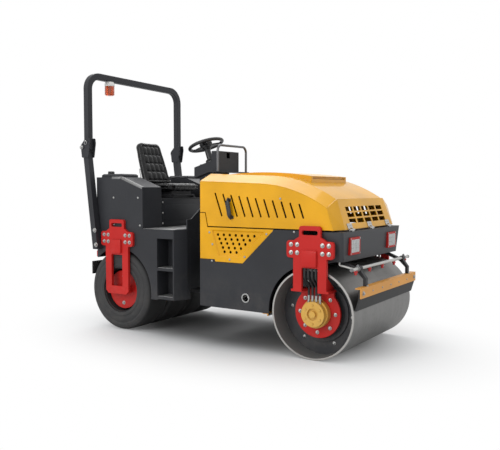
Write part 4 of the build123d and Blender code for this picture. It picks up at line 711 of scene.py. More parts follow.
def fasten(name: str, body: Body, bolts: Sequence[Bolt] = (), screws: Sequence[Screw] = ()) -> None:
    """Makes bright bolts and screws as one piece.

    Args:
        name: the piece's name.
        body: the body it rides on.
        bolts: seat, axis, radius and height of each bolt.
        screws: seat, axis and radius of each screw.
    """
    shape = Shape()
    for bolt in bolts:
        shape.bolt(*bolt)
    for screw in screws:
        shape.screw(*screw)
    shape.piece(name, body, "bright_steel")


@dataclass(frozen=True)
class BoltRing:
    """Sizes of a ring of bolts."""

    count: int
    start: float
    reach: float
    face: float
    radius: float
    height: float


@dataclass
class Carriers:
    """Fasteners of the red carriers at the drum's and the axle's ends."""

    ear_z: Spot = (0.884, 0.822)
    ear_x: tuple[float, ...] = (-0.160, -0.107, 0.107, 0.160)
    bolt_radius: float = 0.0122
    bolt_height: float = 0.010
    cover_low: Point = (-0.062, 0.645, 0.719)
    cover_high: Point = (0.062, 0.653, 0.843)
    cover_bevel: float = 0.0065
    flange: BoltRing = BoltRing(8, 0.0, 0.152, 0.5, 0.0108, 0.010)
    head: BoltRing = BoltRing(6, 55.0, 0.262, 0.43, 0.0095, 0.009)
    hub_face: float = 0.548
    hub_reach: float = 0.125

    def ear_bolts(self, middle_x: float, name: str, body: Body) -> None:
        """The eight bolts on each ear plate."""
        fasten(name, body, [((middle_x + x, side * PLATE_Y, z), (0.0, side, 0.0), self.bolt_radius, self.bolt_height)
                            for side in SIDES for x in self.ear_x for z in self.ear_z])

    def ring_bolts(self, name: str, body: Body, ring: BoltRing) -> None:
        """A ring of bolts on both ends of the drum."""
        turns = [math.radians(ring.start + 360.0 / ring.count * step) for step in range(ring.count)]
        spots = [(DRUM_X + ring.reach * math.cos(turn), DRUM_Z + ring.reach * math.sin(turn)) for turn in turns]
        fasten(name, body, [((x, side * ring.face, z), (0.0, side, 0.0), ring.radius, ring.height)
                            for side in SIDES for x, z in spots])

    def cover_plates(self, middle_x: float, name: str, body: Body) -> None:
        """A plate with bevelled edges on each bracket's cover."""
        shape = Shape()
        (left, near, low), (right, far, high) = self.cover_low, self.cover_high
        for side in SIDES:
            shape.side_box(side, (middle_x + left, near, low), (middle_x + right, far, high), self.cover_bevel)
        shape.piece(name, body, "red_paint")

    def hub_bolts(self) -> None:
        """Two bolts on the disc inside each outer wheel."""
        fasten("hub_bolts", Body.REAR, [((AXLE_X, side * self.hub_face, AXLE_Z + rise), (0.0, side, 0.0), 0.0125, 0.010)
                                        for side in SIDES for rise in (-self.hub_reach, self.hub_reach)])

    def build(self) -> None:
        """Builds all the carriers' fasteners."""
        self.ear_bolts(DRUM_X, "drum_bracket_bolts", Body.FRONT)
        self.ear_bolts(AXLE_X, "axle_bracket_bolts", Body.REAR)
        self.cover_plates(DRUM_X, "drum_cover_plates", Body.FRONT)
        self.cover_plates(AXLE_X, "axle_cover_plates", Body.REAR)
        self.ring_bolts("drum_flange_bolts", Body.FRONT, self.flange)
        self.ring_bolts("drum_head_bolts", Body.DRUM, self.head)
        self.hub_bolts()


@dataclass
class Tyres:
    """Four smooth tyres with moulded rings on their walls."""

    radius: float = 0.37
    half: float = 0.140
    bead: float = 0.208
    places: tuple[float, ...] = (-0.462, -0.154, 0.154, 0.462)

    def wall(self) -> list[Spot]:
        """Half of the section, from the bead over one wall to the tread's middle."""
        rows = [(self.bead, -0.006), (self.bead + 0.012, -0.003), (self.bead + 0.020, 0.0), (self.bead + 0.030, 0.0),
                (self.bead + 0.034, -0.004), (self.bead + 0.042, -0.004), (0.264, -0.001), (0.296, 0.0),
                (0.300, -0.003), (0.306, -0.003), (0.310, 0.0), (0.322, 0.0), (0.334, -0.003), (0.346, -0.0085),
                (0.356, -0.0175), (0.363, -0.0275), (0.3675, -0.038), (0.3695, -0.048)]
        return [(r, self.half + a) for r, a in rows]

    def build(self) -> None:
        """Turns the four tyres as one piece."""
        shape = Shape()
        wall = self.wall()
        for place in self.places:
            section = [(r, place + a) for r, a in wall] + [(self.radius, place)]
            section += [(r, place - a) for r, a in reversed(wall)]
            shape.spun(section, (AXLE_X, 0.0, AXLE_Z), (0.0, 1.0, 0.0), 96)
        shape.piece("smooth_tyres", Body.WHEELS, "tyre_rubber", crisp=50.0, replaces="tyres")


@dataclass
class Seat:
    """Tufted vinyl cushion and back, both filled by a cloth simulation, with piping."""

    foot: Point = (-1.022, 0.0, 1.356)
    lean: float = 18.0
    height: float = 0.446
    half_low: float = 0.190
    half_high: float = 0.158
    waist: float = 0.05
    depth: float = 0.064
    border: float = 0.046
    tufts: int = 4
    tuft_depth: float = 0.021
    cushion_tuft: float = 0.35
    cushion_low: Point = (-1.116, -0.211, 1.297)
    cushion_high: Point = (-0.694, 0.211, 1.354)
    voxel: float = 0.0055
    swell: float = 0.009

    def back_frame(self) -> Matrix:
        """Places the back: x across, y up the back, z out of its front."""
        lean = math.radians(self.lean)
        out = Vector((math.cos(lean), 0.0, math.sin(lean)))
        across = Vector((0.0, 1.0, 0.0))
        matrix = Matrix((across, out.cross(across), out)).transposed().to_4x4()
        matrix.translation = self.foot
        return matrix

    def filled(self, shape: Shape, name: str) -> bpy.types.Mesh:
        """Remeshes a shape evenly and swells it like a filled cover.

        Args:
            shape: the plain closed form, slightly small.
            name: name of the mesh.

        Returns:
            The swollen mesh.
        """
        bmesh.ops.recalc_face_normals(shape.bm, faces=shape.bm.faces)
        mesh = bpy.data.meshes.new(name)
        shape.bm.to_mesh(mesh)
        shape.bm.free()
        scratch = placed(name + "_scratch", mesh)
        scene = bpy.context.scene
        remesh = scratch.modifiers.new("even", "REMESH")
        remesh.mode = "VOXEL"
        remesh.voxel_size = self.voxel
        even = self.evaluated(scratch)
        scratch.modifiers.clear()
        scratch.data = even
        rest = [vert.co.copy() for vert in even.vertices]
        cloth = scratch.modifiers.new("fill", "CLOTH")
        cloth.settings.use_pressure = True
        cloth.settings.uniform_pressure_force = 4.0
        cloth.settings.effector_weights.gravity = 0.0
        cloth.point_cache.frame_end = 20
        for moment in range(1, 21):
            scene.frame_set(moment)
        swollen = self.evaluated(scratch)
        scratch.modifiers.clear()
        scene.frame_set(1)
        for vert, start in zip(swollen.vertices, rest):
            move = vert.co - start
            if move.length > self.swell:
                vert.co = start + move.normalized() * self.swell
        even = swollen
        bpy.data.objects.remove(scratch)
        return even

    def evaluated(self, thing: bpy.types.Object) -> bpy.types.Mesh:
        """A mesh with the object's modifiers applied."""
        graph = bpy.context.evaluated_depsgraph_get()
        return bpy.data.meshes.new_from_object(thing.evaluated_get(graph))

    def quilt(self, across: float, along: float, edge: float) -> float:
        """Depth of the sewn channels at a place.

        Args:
            across: place in tuft columns, whole numbers on the seams.
            along: place in tuft rows, whole numbers on the seams.
            edge: distance outside the quilted field, in metres.

        Returns:
            How far the cover is pulled in.
        """
        if edge > 0.0:
            return self.tuft_depth * max(0.0, 1.0 - math.sqrt(min(1.0, edge / (0.4 * self.border))))
        puff = abs(math.sin(math.pi * across)) * abs(math.sin(math.pi * along))
        return self.tuft_depth * (1.0 - puff ** 0.42)

    def sewn(self, mesh: bpy.types.Mesh, frame_of: Matrix, columns: int, rows: int, low: float, high: float,
             widths: tuple[float, float], floor: float, share_of: float = 1.0) -> None:
        """Pulls the channels into a swollen cover.

        Args:
            mesh: the cover.
            frame_of: its frame, with the quilted face along +z.
            columns: tufts across.
            rows: tufts along.
            low: start of the quilted field along y.
            high: its end.
            widths: half widths of the field at the start and the end.
            floor: only points above this z are sewn.
            share_of: depth of the channels as a share of the back's.
        """
        inverse = frame_of.inverted()
        out = frame_of.to_3x3() @ Vector((0.0, 0.0, 1.0))
        normals = [vert.normal.copy() for vert in mesh.vertices]
        for vert, normal in zip(mesh.vertices, normals):
            place = inverse @ vert.co
            facing = max(0.0, normal.dot(out))
            if place.z < floor or facing < 0.05:
                continue
            share = (place.y - low) / (high - low)
            half = widths[0] + (widths[1] - widths[0]) * min(1.0, max(0.0, share))
            edge = max(abs(place.x) - half, low - place.y, place.y - high)
            pull = self.quilt((place.x / half + 1.0) * columns / 2.0, share * rows, edge)
            vert.co -= out * pull * share_of * facing ** 0.5

    def widened(self, mesh: bpy.types.Mesh, frame_of: Matrix) -> None:
        """Widens the back towards the middle of its height.

        Args:
            mesh: the cover.
            frame_of: its frame, with y up the back.
        """
        inverse = frame_of.inverted()
        for vert in mesh.vertices:
            place = inverse @ vert.co
            share = min(1.0, max(0.0, place.y / self.height))
            place.x *= 1.0 + self.waist * math.sin(math.pi * share)
            vert.co = frame_of @ place

    def covered(self, mesh: bpy.types.Mesh, name: str, node: str) -> None:
        """Ends a cover as a piece that stands for its CAD node."""
        for face in mesh.polygons:
            face.use_smooth = True
        mesh.materials.clear()
        mesh.materials.append(Finishes.made["seat_vinyl"])
        made = placed(name, mesh)
        finer = made.modifiers.new("finer", "SUBSURF")
        finer.levels = 1
        finer.render_levels = 1
        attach(made, Body.REAR.value)
        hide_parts(node)
        LOG.info("%s replaces %s, %d faces", name, node, len(mesh.polygons))

    def back(self) -> None:
        """The reclined back with four rows of four tufts in a rolled border."""
        place = self.back_frame()
        shape = Shape()
        taper = self.half_high / self.half_low
        made = bmesh.ops.create_cube(shape.bm, size=1.0)
        for vert in made["verts"]:
            top = vert.co.y > 0.0
            vert.co = Vector((vert.co.x * 2.0 * self.half_low * (taper if top else 1.0), self.height if top else 0.004,
                              -self.depth if vert.co.z < 0.0 else -0.004))
        corners = [edge for edge in shape.bm.edges if all(vert.co.y > 0.1 for vert in edge.verts)
                   and abs(edge.verts[0].co.x - edge.verts[1].co.x) < 0.001]
        bmesh.ops.bevel(shape.bm, geom=corners, offset=0.055, offset_type="OFFSET", affect="EDGES", segments=8,
                        profile=0.5, material=-1)
        shape.soften(list(shape.bm.verts), 0.020, 4)
        bmesh.ops.transform(shape.bm, matrix=place, verts=shape.bm.verts)
        mesh = self.filled(shape, "seat_back_cover")
        self.widened(mesh, place)
        self.sewn(mesh, place, self.tufts, self.tufts, self.border, self.height - self.border,
                  (self.half_low - self.border, self.half_high - self.border), -0.03)
        self.covered(mesh, "seat_back_cover", "seat_back")

    def cushion(self) -> None:
        """The cushion, tufted on top, thicker at its rounded front."""
        shape = Shape()
        low, high = Vector(self.cushion_low), Vector(self.cushion_high)
        matrix = Matrix.Translation((low + high) / 2) @ Matrix.Diagonal((*(high - low), 1.0))
        bmesh.ops.create_cube(shape.bm, size=1.0, matrix=matrix)
        corners = [edge for edge in shape.bm.edges if abs(edge.verts[0].co.z - edge.verts[1].co.z) > 0.01]
        bmesh.ops.bevel(shape.bm, geom=corners, offset=0.052, offset_type="OFFSET", affect="EDGES", segments=8,
                        profile=0.5, material=-1)
        shape.soften(list(shape.bm.verts), 0.017, 4)
        mesh = self.filled(shape, "seat_cushion_cover")
        across = Vector((0.0, 1.0, 0.0))
        up = Vector((0.0, 0.0, 1.0))
        place = Matrix((across, up.cross(across), up)).transposed().to_4x4()
        place.translation = (high.x, 0.0, high.z)
        length = high.x - low.x
        field = high.y - self.border
        self.sewn(mesh, place, self.tufts, self.tufts, self.border, length - self.border, (field, field), -0.02,
                  self.cushion_tuft)
        self.covered(mesh, "seat_cushion_cover", "seat_cushion")

    def piping(self) -> None:
        """Piping round the cushion's upper and lower seams."""
        shape = Shape()
        low, high = Vector(self.cushion_low), Vector(self.cushion_high)
        middle = (low + high) / 2
        half = (high - low) / 2 + Vector((0.003, 0.003, 0.0))
        for z in (low.z + 0.016, high.z - 0.014):
            ring = rounded_loop(half.x, half.y, 0.055, 8)
            shape.tube([(middle.x + x, middle.y + y, z) for x, y in ring], 0.0045, 8, closed=True)
        shape.piece("seat_piping", Body.REAR, "seat_vinyl")

    def slides(self) -> None:
        """Seat rails, their stops and the locking bar under the cushion."""
        shape = Shape()
        for side in SIDES:
            shape.box((-1.06, side * 0.165 - 0.014, 1.224), (-0.72, side * 0.165 + 0.014, 1.240), 0.003)
            shape.box((-1.04, side * 0.165 - 0.009, 1.240), (-0.74, side * 0.165 + 0.009, 1.258), 0.003)
            shape.bolt((-0.735, side * 0.165, 1.240), (0.0, 0.0, 1.0), 0.007, 0.005)
        shape.tube([(-0.74, -0.15, 1.250), (-0.715, -0.15, 1.250), (-0.700, -0.135, 1.250), (-0.700, 0.135, 1.250),
                    (-0.715, 0.15, 1.250), (-0.74, 0.15, 1.250)], 0.006, 10)
        shape.piece("seat_slides", Body.REAR, "dark_steel")

    def recliner(self) -> None:
        """Bright lever and pivot at each side of the back's foot."""
        shape = Shape()
        for side in SIDES:
            y = side * (self.half_low + 0.012)
            shape.rod((-1.075, y - side * 0.032, 1.385), (-1.075, y + side * 0.008, 1.385), 0.015, 24, 0.003)
            shape.tube([(-1.078, y, 1.385), (-1.092, y, 1.420), (-1.104, y, 1.460), (-1.110, y, 1.505)], 0.005, 10)
        shape.piece("seat_recliner", Body.REAR, "bright_steel")

    def build(self) -> None:
        """Builds the whole seat."""
        self.back()
        self.cushion()
        self.piping()
        self.slides()
        self.recliner()


@dataclass
class Hood:
    """Screws and handles of the bonnet, its covers and the frame plates."""

    side_y: float = 0.604
    cover_y: float = 0.606
    plate_y: float = 0.610
    lid_screws: tuple[Spot, ...] = ((0.726, 1.230),)
    cover_screws: tuple[Spot, ...] = ((0.043, 0.945), (0.074, 0.847), (0.602, 0.950), (0.395, 0.758), (0.248, 0.729))
    plate_screws: tuple[Spot, ...] = ((0.853, 0.976), (0.071, 0.709))
    grip_low: Spot = (0.266, 1.076)
    grip_high: Spot = (0.240, 1.216)
    stand: float = 0.028

    def screws(self) -> None:
        """Domed screws in the places where the sheets are held."""
        rows = (("bonnet_screws", Body.BONNET, self.side_y, self.lid_screws),
                ("cover_screws", Body.FRONT, self.cover_y, self.cover_screws),
                ("plate_screws", Body.FRONT, self.plate_y, self.plate_screws))
        for name, body, y, places in rows:
            fasten(name, body, screws=[((x, side * y, z), (0.0, side, 0.0), 0.0095)
                                       for x, z in places for side in SIDES])

    def grips(self) -> None:
        """Flat black handles on the bonnet's sides."""
        shape = Shape()
        low, high = self.grip_low, self.grip_high
        for side in SIDES:
            near = side * (self.side_y + 0.004)
            far = side * (self.side_y + self.stand)
            points = [(low[0] + 0.002, near, low[1] - 0.004)]
            for share in (0.06, 0.13, 0.3, 0.5, 0.7, 0.87, 0.94):
                bow = 1.0 if 0.1 < share < 0.9 else 0.72
                points.append((low[0] + (high[0] - low[0]) * share, near + (far - near) * bow,
                               low[1] + (high[1] - low[1]) * share))
            points.append((high[0] - 0.002, near, high[1] + 0.004))
            shape.tube(points, 0.0095, 16, 2.2)
            for x, z in (low, high):
                shape.side_box(side, (x - 0.021, self.side_y, z - 0.013),
                               (x + 0.021, self.side_y + 0.004, z + 0.013), 0.002)
        shape.piece("bonnet_grips", Body.BONNET, "black_plastic", crisp=50.0, replaces="bonnet_handles")

    def leaf_screws(self) -> None:
        """Two screws in each hinge leaf."""
        fasten("hinge_screws", Body.BONNET, screws=[((1.2215, y + offset, 1.030), (0.94, 0.0, 0.34), 0.004)
                                                    for y in (-0.392, -0.008, 0.376) for offset in (-0.024, 0.024)])

    def build(self) -> None:
        """Builds the bonnet's fittings."""
        self.screws()
        self.grips()
        self.leaf_screws()


@dataclass
class Headlamps:
    """Fluted lenses and the screws of the two headlamps."""

    middle: float = 0.382
    half: float = 0.0765
    low: float = 0.8225
    high: float = 0.9235
    back: float = 1.231
    front: float = 1.2612
    ribs: int = 5

    def lenses(self) -> None:
        """Pillowed lenses with upright flutes and two cross bars."""
        shape = Shape()
        for side in SIDES:
            y = side * self.middle
            shape.box((self.back, y - self.half, self.low), (self.front, y + self.half, self.high), 0.004)
            pitch = 2.0 * (self.half - 0.006) / self.ribs
            for index in range(self.ribs):
                place = y - self.half + 0.006 + pitch * (index + 0.5)
                deep = self.front + 0.006 - pitch * 0.46
                shape.rod((deep, place, self.low + 0.005), (deep, place, self.high - 0.005), pitch * 0.46, 20)
            for share in (0.36, 0.68):
                z = self.low + (self.high - self.low) * share
                shape.box((self.front - 0.002, y - self.half + 0.004, z - 0.0016),
                          (self.front + 0.0045, y + self.half - 0.004, z + 0.0016), 0.0005)
        shape.piece("headlamp_glass", Body.FRONT, "lamp_glass", replaces="headlamp_lenses")

    def screws(self) -> None:
        """Screws in the corners of the lamp frames."""
        fasten("headlamp_screws", Body.FRONT, screws=[((1.260, side * self.middle + across, z), (1.0, 0.0, 0.0), 0.006)
               for side in SIDES for across in (-0.082, 0.082) for z in (0.817, 0.929)])

    def build(self) -> None:
        """Builds the lamps' visible parts."""
        self.lenses()
        self.screws()


@dataclass
class Scrapers:
    """Fasteners of the drum scrapers and the clamps of the spray bar."""

    face_x: float = 1.400
    face_z: float = 0.542
    arm_y: float = 0.450
    spray: Spot = (1.325, 0.712)

    def bolts(self) -> None:
        """Bolts along the scraper's angle and on its lip."""
        sizes = [(y, 0.012 if abs(y) > self.arm_y else 0.0055) for y in (-0.55, -0.37, -0.18, 0.0, 0.18, 0.37, 0.55)]
        face = [((self.face_x, y, self.face_z), (1.0, 0.0, 0.0), radius, radius * 0.75) for y, radius in sizes]
        lip = [((1.387, side * self.arm_y, 0.582), (0.0, 0.0, 1.0), 0.009, 0.007) for side in SIDES]
        fasten("scraper_bolts", Body.FRONT, face + lip)

    def clamps(self) -> None:
        """Moulded clamps that hold the spray bar beside its arms."""
        shape = Shape()
        x, z = self.spray
        for side in SIDES:
            y = side * 0.486
            shape.spun([(0.0125, -0.010), (0.018, -0.010), (0.020, -0.007), (0.020, 0.007), (0.018, 0.010),
                        (0.0125, 0.010)], (x, y, z), (0.0, 1.0, 0.0), 24)
            shape.box((x - 0.008, y - 0.008, z + 0.016), (x + 0.008, y + 0.008, z + 0.028), 0.002)
            shape.screw((x, y, z + 0.028), (0.0, 0.0, 1.0), 0.005)
        for y in (-0.594, 0.594):
            shape.spun([(0.0, -0.005), (0.0125, -0.005), (0.0145, -0.003), (0.0145, 0.003), (0.0125, 0.005),
                        (0.0, 0.005)], (x, y, z), (0.0, 1.0, 0.0), 24)
        shape.piece("spray_clamps", Body.FRONT, "white_plastic", "grey_plastic")

    def build(self) -> None:
        """Builds the scrapers' fittings."""
        self.bolts()
        self.clamps()


@dataclass
class Station:
    """Strips, panels, treads, cap and screws of the operator's station."""

    outer: float = 0.610
    top: float = 1.416
    bend: Spot = (-0.958, 1.416)
    nose: Spot = (-0.700, 1.322)
    strip: float = 0.024
    flange: float = 0.018
    start: float = -1.075
    floor: float = 0.950
    box_screws: tuple[Spot, ...] = ((-1.056, 1.227), (-0.753, 1.227), (-0.732, 0.978), (-1.056, 0.978))
    sheet: float = 0.003
    sheet_bevel: float = 0.001

    def strips(self) -> None:
        """Pale grip strips along the outer edges of the side boxes."""
        shape = Shape()
        slope = math.atan2(self.nose[1] - self.bend[1], self.nose[0] - self.bend[0])
        length = math.hypot(self.nose[0] - self.bend[0], self.nose[1] - self.bend[1])
        top, bevel = self.top + self.sheet, self.sheet_bevel
        for side in SIDES:
            turn = Matrix.Translation((self.bend[0], 0.0, self.bend[1])) @ Matrix.Rotation(-slope, 4, "Y")
            inner, outer = self.outer - self.strip, self.outer - 0.002
            shape.side_box(side, (self.start, inner, self.top), (self.bend[0], outer, top), bevel)
            shape.side_box(side, (0.0, inner, 0.0), (length, outer, self.sheet), bevel, turn)
            inner, outer = self.outer, self.outer + 0.0025
            shape.side_box(side, (self.start, inner, self.top - self.flange),
                           (self.bend[0] + self.sheet, outer, top), bevel)
            shape.side_box(side, (-self.sheet, inner, -self.flange), (length, outer, self.sheet), bevel, turn)
        shape.piece("grip_strips", Body.REAR, "bright_steel", "grip_strip")

    def screws(self) -> None:
        """Screws of the side boxes and of the seat box's panel."""
        box = [((x, side * self.outer, z), (0.0, side, 0.0), 0.0105) for side in SIDES for x, z in self.box_screws]
        panel = [((-0.7155, side * 0.318, z), (1.0, 0.0, 0.0), 0.009) for side in SIDES for z in (0.985, 1.083, 1.182)]
        fasten("station_screws", Body.REAR, screws=box + panel)

    def panel(self) -> None:
        """The screwed panel in front of the seat box."""
        shape = Shape()
        shape.box((-0.722, -0.336, 0.962), (-0.7165, 0.336, 1.206), 0.0015)
        shape.box((-0.7165, -0.29, 1.01), (-0.7135, 0.29, 1.158), 0.0014)
        shape.piece("seat_box_panel", Body.REAR, "grey_paint")

    def treads(self) -> None:
        """Chequered plates on the floor and the steps."""
        shape = Shape()
        bevel = self.sheet_bevel
        for side in SIDES:
            shape.side_box(side, (-0.697, 0.125, self.floor), (-0.352, 0.606, self.floor + self.sheet), bevel)
            for z in (0.610, 0.357):
                shape.side_box(side, (-0.528, 0.455, z), (-0.362, 0.606, z + self.sheet), bevel)
        shape.box((-0.697, -0.125, self.floor), (-0.450, 0.125, self.floor + self.sheet), bevel)
        shape.piece("floor_treads", Body.REAR, "bright_steel", "tread_plate")

    def cap(self) -> None:
        """The ribbed filler cap on the right-hand box."""
        shape = Shape()
        x, y, z = -1.158, -0.536, 1.446
        shape.spun([(0.0, 0.0), (0.031, 0.0), (0.032, 0.003), (0.0315, 0.006), (0.0285, 0.008), (0.0285, 0.021),
                    (0.0265, 0.025), (0.017, 0.0265), (0.015, 0.0245), (0.0, 0.0245)], (x, y, z), (0.0, 0.0, 1.0), 48)
        for step in range(24):
            turn = math.radians(15.0 * step)
            place = (x + 0.0285 * math.cos(turn), y + 0.0285 * math.sin(turn))
            shape.rod((*place, z + 0.008), (*place, z + 0.0225), 0.0017, 6)
        shape.piece("filler_cap_ribbed", Body.REAR, "black_plastic", replaces="filler_cap")

    def lid_seams(self) -> None:
        """Hinges and latches of the side boxes' lids."""
        shape = Shape()
        for side in SIDES:
            for x in (-1.16, -1.04):
                shape.rod((x - 0.03, side * 0.374, 1.424), (x + 0.03, side * 0.374, 1.424), 0.006, 14, 0.001)
            shape.side_box(side, (-1.125, 0.584, 1.420), (-1.085, 0.590, 1.440), 0.002)
        shape.piece("lid_fittings", Body.REAR, "dark_steel")

    def build(self) -> None:
        """Builds the station's fittings."""
        self.strips()
        self.screws()
        self.panel()
        self.treads()
        self.cap()
        self.lid_seams()


@dataclass
class Controls:
    """Gauges, switches, knob and boot on the console, and the steering wheel's cap."""

    rear: Spot = (-0.472, 1.507)
    front: Spot = (-0.250, 1.574)
    wheel: Point = (-0.447, 0.0, 1.723)
    lean: float = 19.36

    def column(self) -> Vector:
        """The way that the steering column points."""
        lean = math.radians(self.lean)
        return Vector((-math.sin(lean), 0.0, math.cos(lean)))

    def on_top(self, along: float, y: float) -> tuple[Vector, Vector]:
        """A point on the console's sloping top and the top's normal."""
        run = Vector((self.front[0] - self.rear[0], 0.0, self.front[1] - self.rear[1]))
        place = Vector((self.rear[0], y, self.rear[1])) + run * along
        return place, Vector((-run.z, 0.0, run.x)).normalized()

    def gauges(self) -> None:
        """Two round gauges with bright rims."""
        rims = Shape()
        faces = Shape()
        for y in (-0.095, 0.095):
            place, out = self.on_top(0.72, y)
            rims.spun([(0.027, 0.0), (0.033, 0.0), (0.034, 0.004), (0.032, 0.008), (0.028, 0.008), (0.027, 0.004)],
                      place, out, 40)
            faces.rod(place, place + out * 0.0045, 0.0275, 40)
            faces.rod(place + out * 0.0045, place + out * 0.007, 0.004, 16, 0.0006)
        rims.piece("gauge_rims", Body.REAR, "bright_steel")
        faces.piece("gauge_faces", Body.REAR, "black_plastic", "gauge_face")

    def switches(self) -> None:
        """Rocker switches, a key and the red stop knob."""
        shape = Shape()
        run = math.atan2(self.front[1] - self.rear[1], self.front[0] - self.rear[0])
        for y in (-0.125, -0.098, -0.071, 0.071, 0.098):
            place, _ = self.on_top(0.28, y)
            turn = Matrix.Translation(place) @ Matrix.Rotation(-run, 4, "Y")
            shape.box((-0.015, -0.010, 0.0), (0.015, 0.010, 0.004), 0.0015, turn)
            shape.box((-0.011, -0.007, 0.003), (0.011, 0.007, 0.009), 0.002, turn @ Matrix.Rotation(0.14, 4, "Y"))
        shape.piece("console_switches", Body.REAR, "black_plastic")
        knob = Shape()
        place, out = self.on_top(0.28, 0.126)
        knob.spun([(0.0, 0.0), (0.009, 0.0), (0.009, 0.012), (0.017, 0.014), (0.019, 0.020), (0.017, 0.025),
                   (0.0, 0.027)], place, out, 32)
        knob.piece("stop_knob", Body.REAR, "red_paint", "red_plastic")

    def boot(self) -> None:
        """Ribbed rubber boot at the steering column's foot."""
        way = self.column()
        shape = Shape()
        profile = [(0.029, 0.0), (0.056, -0.006), (0.058, 0.002), (0.050, 0.010), (0.054, 0.016), (0.047, 0.023),
                   (0.050, 0.029), (0.043, 0.036), (0.046, 0.042), (0.038, 0.050), (0.029, 0.052)]
        shape.spun(profile, Vector(self.wheel) - way * 0.196, way, 40)
        shape.piece("column_boot", Body.REAR, "black_rubber")

    def horn(self) -> None:
        """Domed cap and tapering skirt on the steering wheel's hub."""
        shape = Shape()
        shape.spun([(0.026, -0.050), (0.034, -0.046), (0.052, -0.012), (0.060, 0.004), (0.062, 0.012), (0.060, 0.018),
                    (0.050, 0.023), (0.034, 0.0255), (0.030, 0.025), (0.027, 0.027), (0.0, 0.029), (0.0, 0.010),
                    (0.026, 0.004)], self.wheel, self.column(), 48)
        shape.piece("wheel_cap", Body.STEERING, "black_plastic")

    def build(self) -> None:
        """Builds the controls."""
        self.gauges()
        self.switches()
        self.boot()
        self.horn()


@dataclass
class RollBar:
    """Bolts and pins of the roll bar, and its beacon."""

    post_y: float = 0.680
    cheek_y: float = 0.694
    foot_bolts: tuple[Spot, ...] = ((-1.236, 0.922), (-1.221, 0.787))
    pivot: Spot = (-1.378, 1.696)
    lock: Spot = (-1.318, 1.752)
    beacon: Spot = (-1.335, -0.370)

    def bolts(self) -> None:
        """Two bolts through each post's foot."""
        fasten("post_bolts", Body.REAR, [((x, side * self.post_y, z), (0.0, side, 0.0), 0.015, 0.012)
                                         for side in SIDES for x, z in self.foot_bolts])

    def pins(self) -> None:
        """Pivot bolts and ringed locking pins in the hinge cheeks."""
        shape = Shape()
        for side in SIDES:
            x, z = self.pivot
            shape.bolt((x, side * (self.cheek_y + 0.004), z), (0.0, side, 0.0), 0.014, 0.010)
            x, z = self.lock
            shape.rod((x, side * self.cheek_y, z), (x, side * (self.cheek_y + 0.016), z), 0.0085, 20, 0.002)
            ring = [(x + 0.016 * math.sin(math.radians(30.0 * step)), side * (self.cheek_y + 0.011),
                     z - 0.016 + 0.016 * math.cos(math.radians(30.0 * step))) for step in range(12)]
            shape.tube(ring, 0.002, 8, closed=True)
        shape.piece("hinge_pins", Body.REAR, "bright_steel")

    def lens(self) -> None:
        """The beacon's ribbed lens with its lamp tube and its collar."""
        x, y = self.beacon
        shape = Shape()
        profile = [(0.0, 2.210), (0.032, 2.210), (0.041, 2.214), (0.0455, 2.221)]
        for step in range(11):
            z = 2.226 + 0.0062 * step
            profile += [(0.0458, z), (0.0470, z + 0.0031)]
        profile += [(0.0458, 2.294), (0.0458, 2.2975), (0.0, 2.2975)]
        shape.spun(profile, (x, y, 0.0), (0.0, 0.0, 1.0), 56)
        shape.piece("beacon_dome", Body.HOOP, "orange_lens", replaces="beacon_lens")
        collar = Shape()
        collar.spun([(0.0, 2.298), (0.0478, 2.298), (0.0490, 2.300), (0.0490, 2.322), (0.0470, 2.326), (0.042, 2.328),
                     (0.042, 2.340), (0.0, 2.340)], (x, y, 0.0), (0.0, 0.0, 1.0), 48)
        collar.spun([(0.0, 2.224), (0.010, 2.226), (0.012, 2.230), (0.012, 2.298), (0.0, 2.298)], (x, y, 0.0),
                    (0.0, 0.0, 1.0), 24)
        collar.piece("beacon_collar", Body.HOOP, "white_plastic", replaces="beacon_base")

    def build(self) -> None:
        """Builds the roll bar's fittings."""
        self.bolts()
        self.pins()
        self.lens()


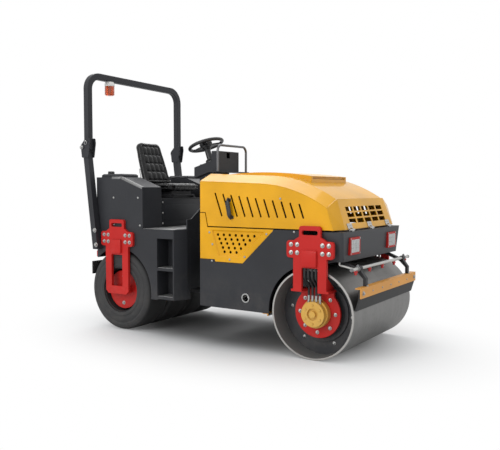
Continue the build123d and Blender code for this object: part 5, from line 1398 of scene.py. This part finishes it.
@dataclass
class Studio:
    """Floor, lights, background and the camera."""

    floor_half: float = 14.0
    soft_light: float = 0.80
    eye: Point = (3.268, -4.922, 1.300)
    tilt: float = 86.87
    yaw: float = 33.17
    lens: float = 46.49

    def floor(self) -> None:
        """A pale floor that keeps the shadow, with a painted shadow under the machine for the camera, and fades to
        white far off.
        """
        bm = bmesh.new()
        bmesh.ops.create_grid(bm, x_segments=2, y_segments=2, size=self.floor_half)
        mesh = bpy.data.meshes.new("studio_floor")
        bm.to_mesh(mesh)
        bm.free()
        made = placed("studio_floor", mesh)
        net = Net("studio_floor_finish")
        x, y, _ = net.axes()
        away = (x * x * 0.45 + y * y) ** 0.5
        seen = net.node("ShaderNodeLightPath", {}, {}, "Is Camera Ray")
        fade = away.band(0.55, 1.75) * seen
        # Painted shadow: a dark patch over the machine's footprint, seen by camera rays only, darkens the floor's
        # colour there.
        under = 1.0 - ((x * x * 0.55 + y * y * 2.2) ** 0.5).band(0.50, 1.20)
        tone = net.mix(under * seen * 0.75, (0.72, 0.72, 0.72), (0.05, 0.05, 0.05))
        white = net.node("ShaderNodeEmission", {}, {"Color": (1.0, 1.0, 1.0), "Strength": 1.0})
        blend = net.node("ShaderNodeMixShader", {}, {0: fade, 1: Sig(net, net.shader.outputs[0]), 2: white})
        net.put(net.output.inputs[0], blend)
        mesh.materials.append(net.finish(Base_Color=tone, Roughness=0.9, Specular_IOR_Level=0.1))

    def background(self) -> None:
        """White where the camera or a mirror looks, softer where it lights."""
        net = Net("studio_background", True)
        bpy.context.scene.world = net.material
        camera, glossy, through = (net.node("ShaderNodeLightPath", {}, {}, f"Is {ray} Ray")
                                   for ray in ("Camera", "Glossy", "Transmission"))
        soft = net.node("ShaderNodeBackground", {}, {0: (0.96, 0.98, 1.0), 1: self.soft_light})
        bright = net.node("ShaderNodeBackground", {}, {0: (1.0, 1.0, 1.0), 1: 1.0})
        seen = camera.most(glossy.most(through))
        net.put(net.output.inputs[0], net.node("ShaderNodeMixShader", {}, {0: seen, 1: soft, 2: bright}))

    def lamp(self, name: str, place: Point, target: Point, size: float, power: float) -> None:
        """One soft square lamp.

        Args:
            name: the lamp's name.
            place: where it hangs.
            target: where it points.
            size: its side.
            power: its power in watts.
        """
        data = bpy.data.lights.new(name, "AREA")
        data.size = size
        data.energy = power
        made = placed(name, data)
        made.location = place
        way = Vector(target) - Vector(place)
        made.rotation_euler = way.to_track_quat("-Z", "Y").to_euler()

    def camera(self) -> None:
        """The camera at the photograph's viewing angle."""
        data = bpy.data.cameras.new("studio_camera")
        data.sensor_fit = "HORIZONTAL"
        data.sensor_width = 36.0
        data.lens = self.lens
        data.clip_end = 200.0
        made = placed("studio_camera", data)
        made.location = self.eye
        made.rotation_euler = (math.radians(self.tilt), 0.0, math.radians(self.yaw))
        bpy.context.scene.camera = made

    def build(self) -> None:
        """Sets up the whole studio."""
        bpy.context.scene.view_settings.view_transform = "Standard"
        self.floor()
        self.background()
        self.lamp("top_lamp", (0.3, -0.6, 6.0), (0.0, 0.0, 0.8), 5.0, 40.0)
        self.lamp("back_lamp", (-2.4, 2.8, 5.8), (0.2, -0.3, 1.2), 5.6, 190.0)
        self.lamp("side_lamp", (-1.5, -7.0, 4.0), (0.0, 0.0, 0.8), 4.0, 182.0)
        self.camera()


def main() -> None:
    """Builds every sub-assembly in order."""
    logging.basicConfig(level=logging.INFO, format="%(message)s")
    Studio().build()
    Finishes.build()
    Finishes.dress_nodes()
    for part in (Carriers(), Tyres(), Hood(), Headlamps(), Scrapers(), Station(), Controls(), RollBar(), Seat()):
        part.build()


if __name__ == "__main__":
    main()
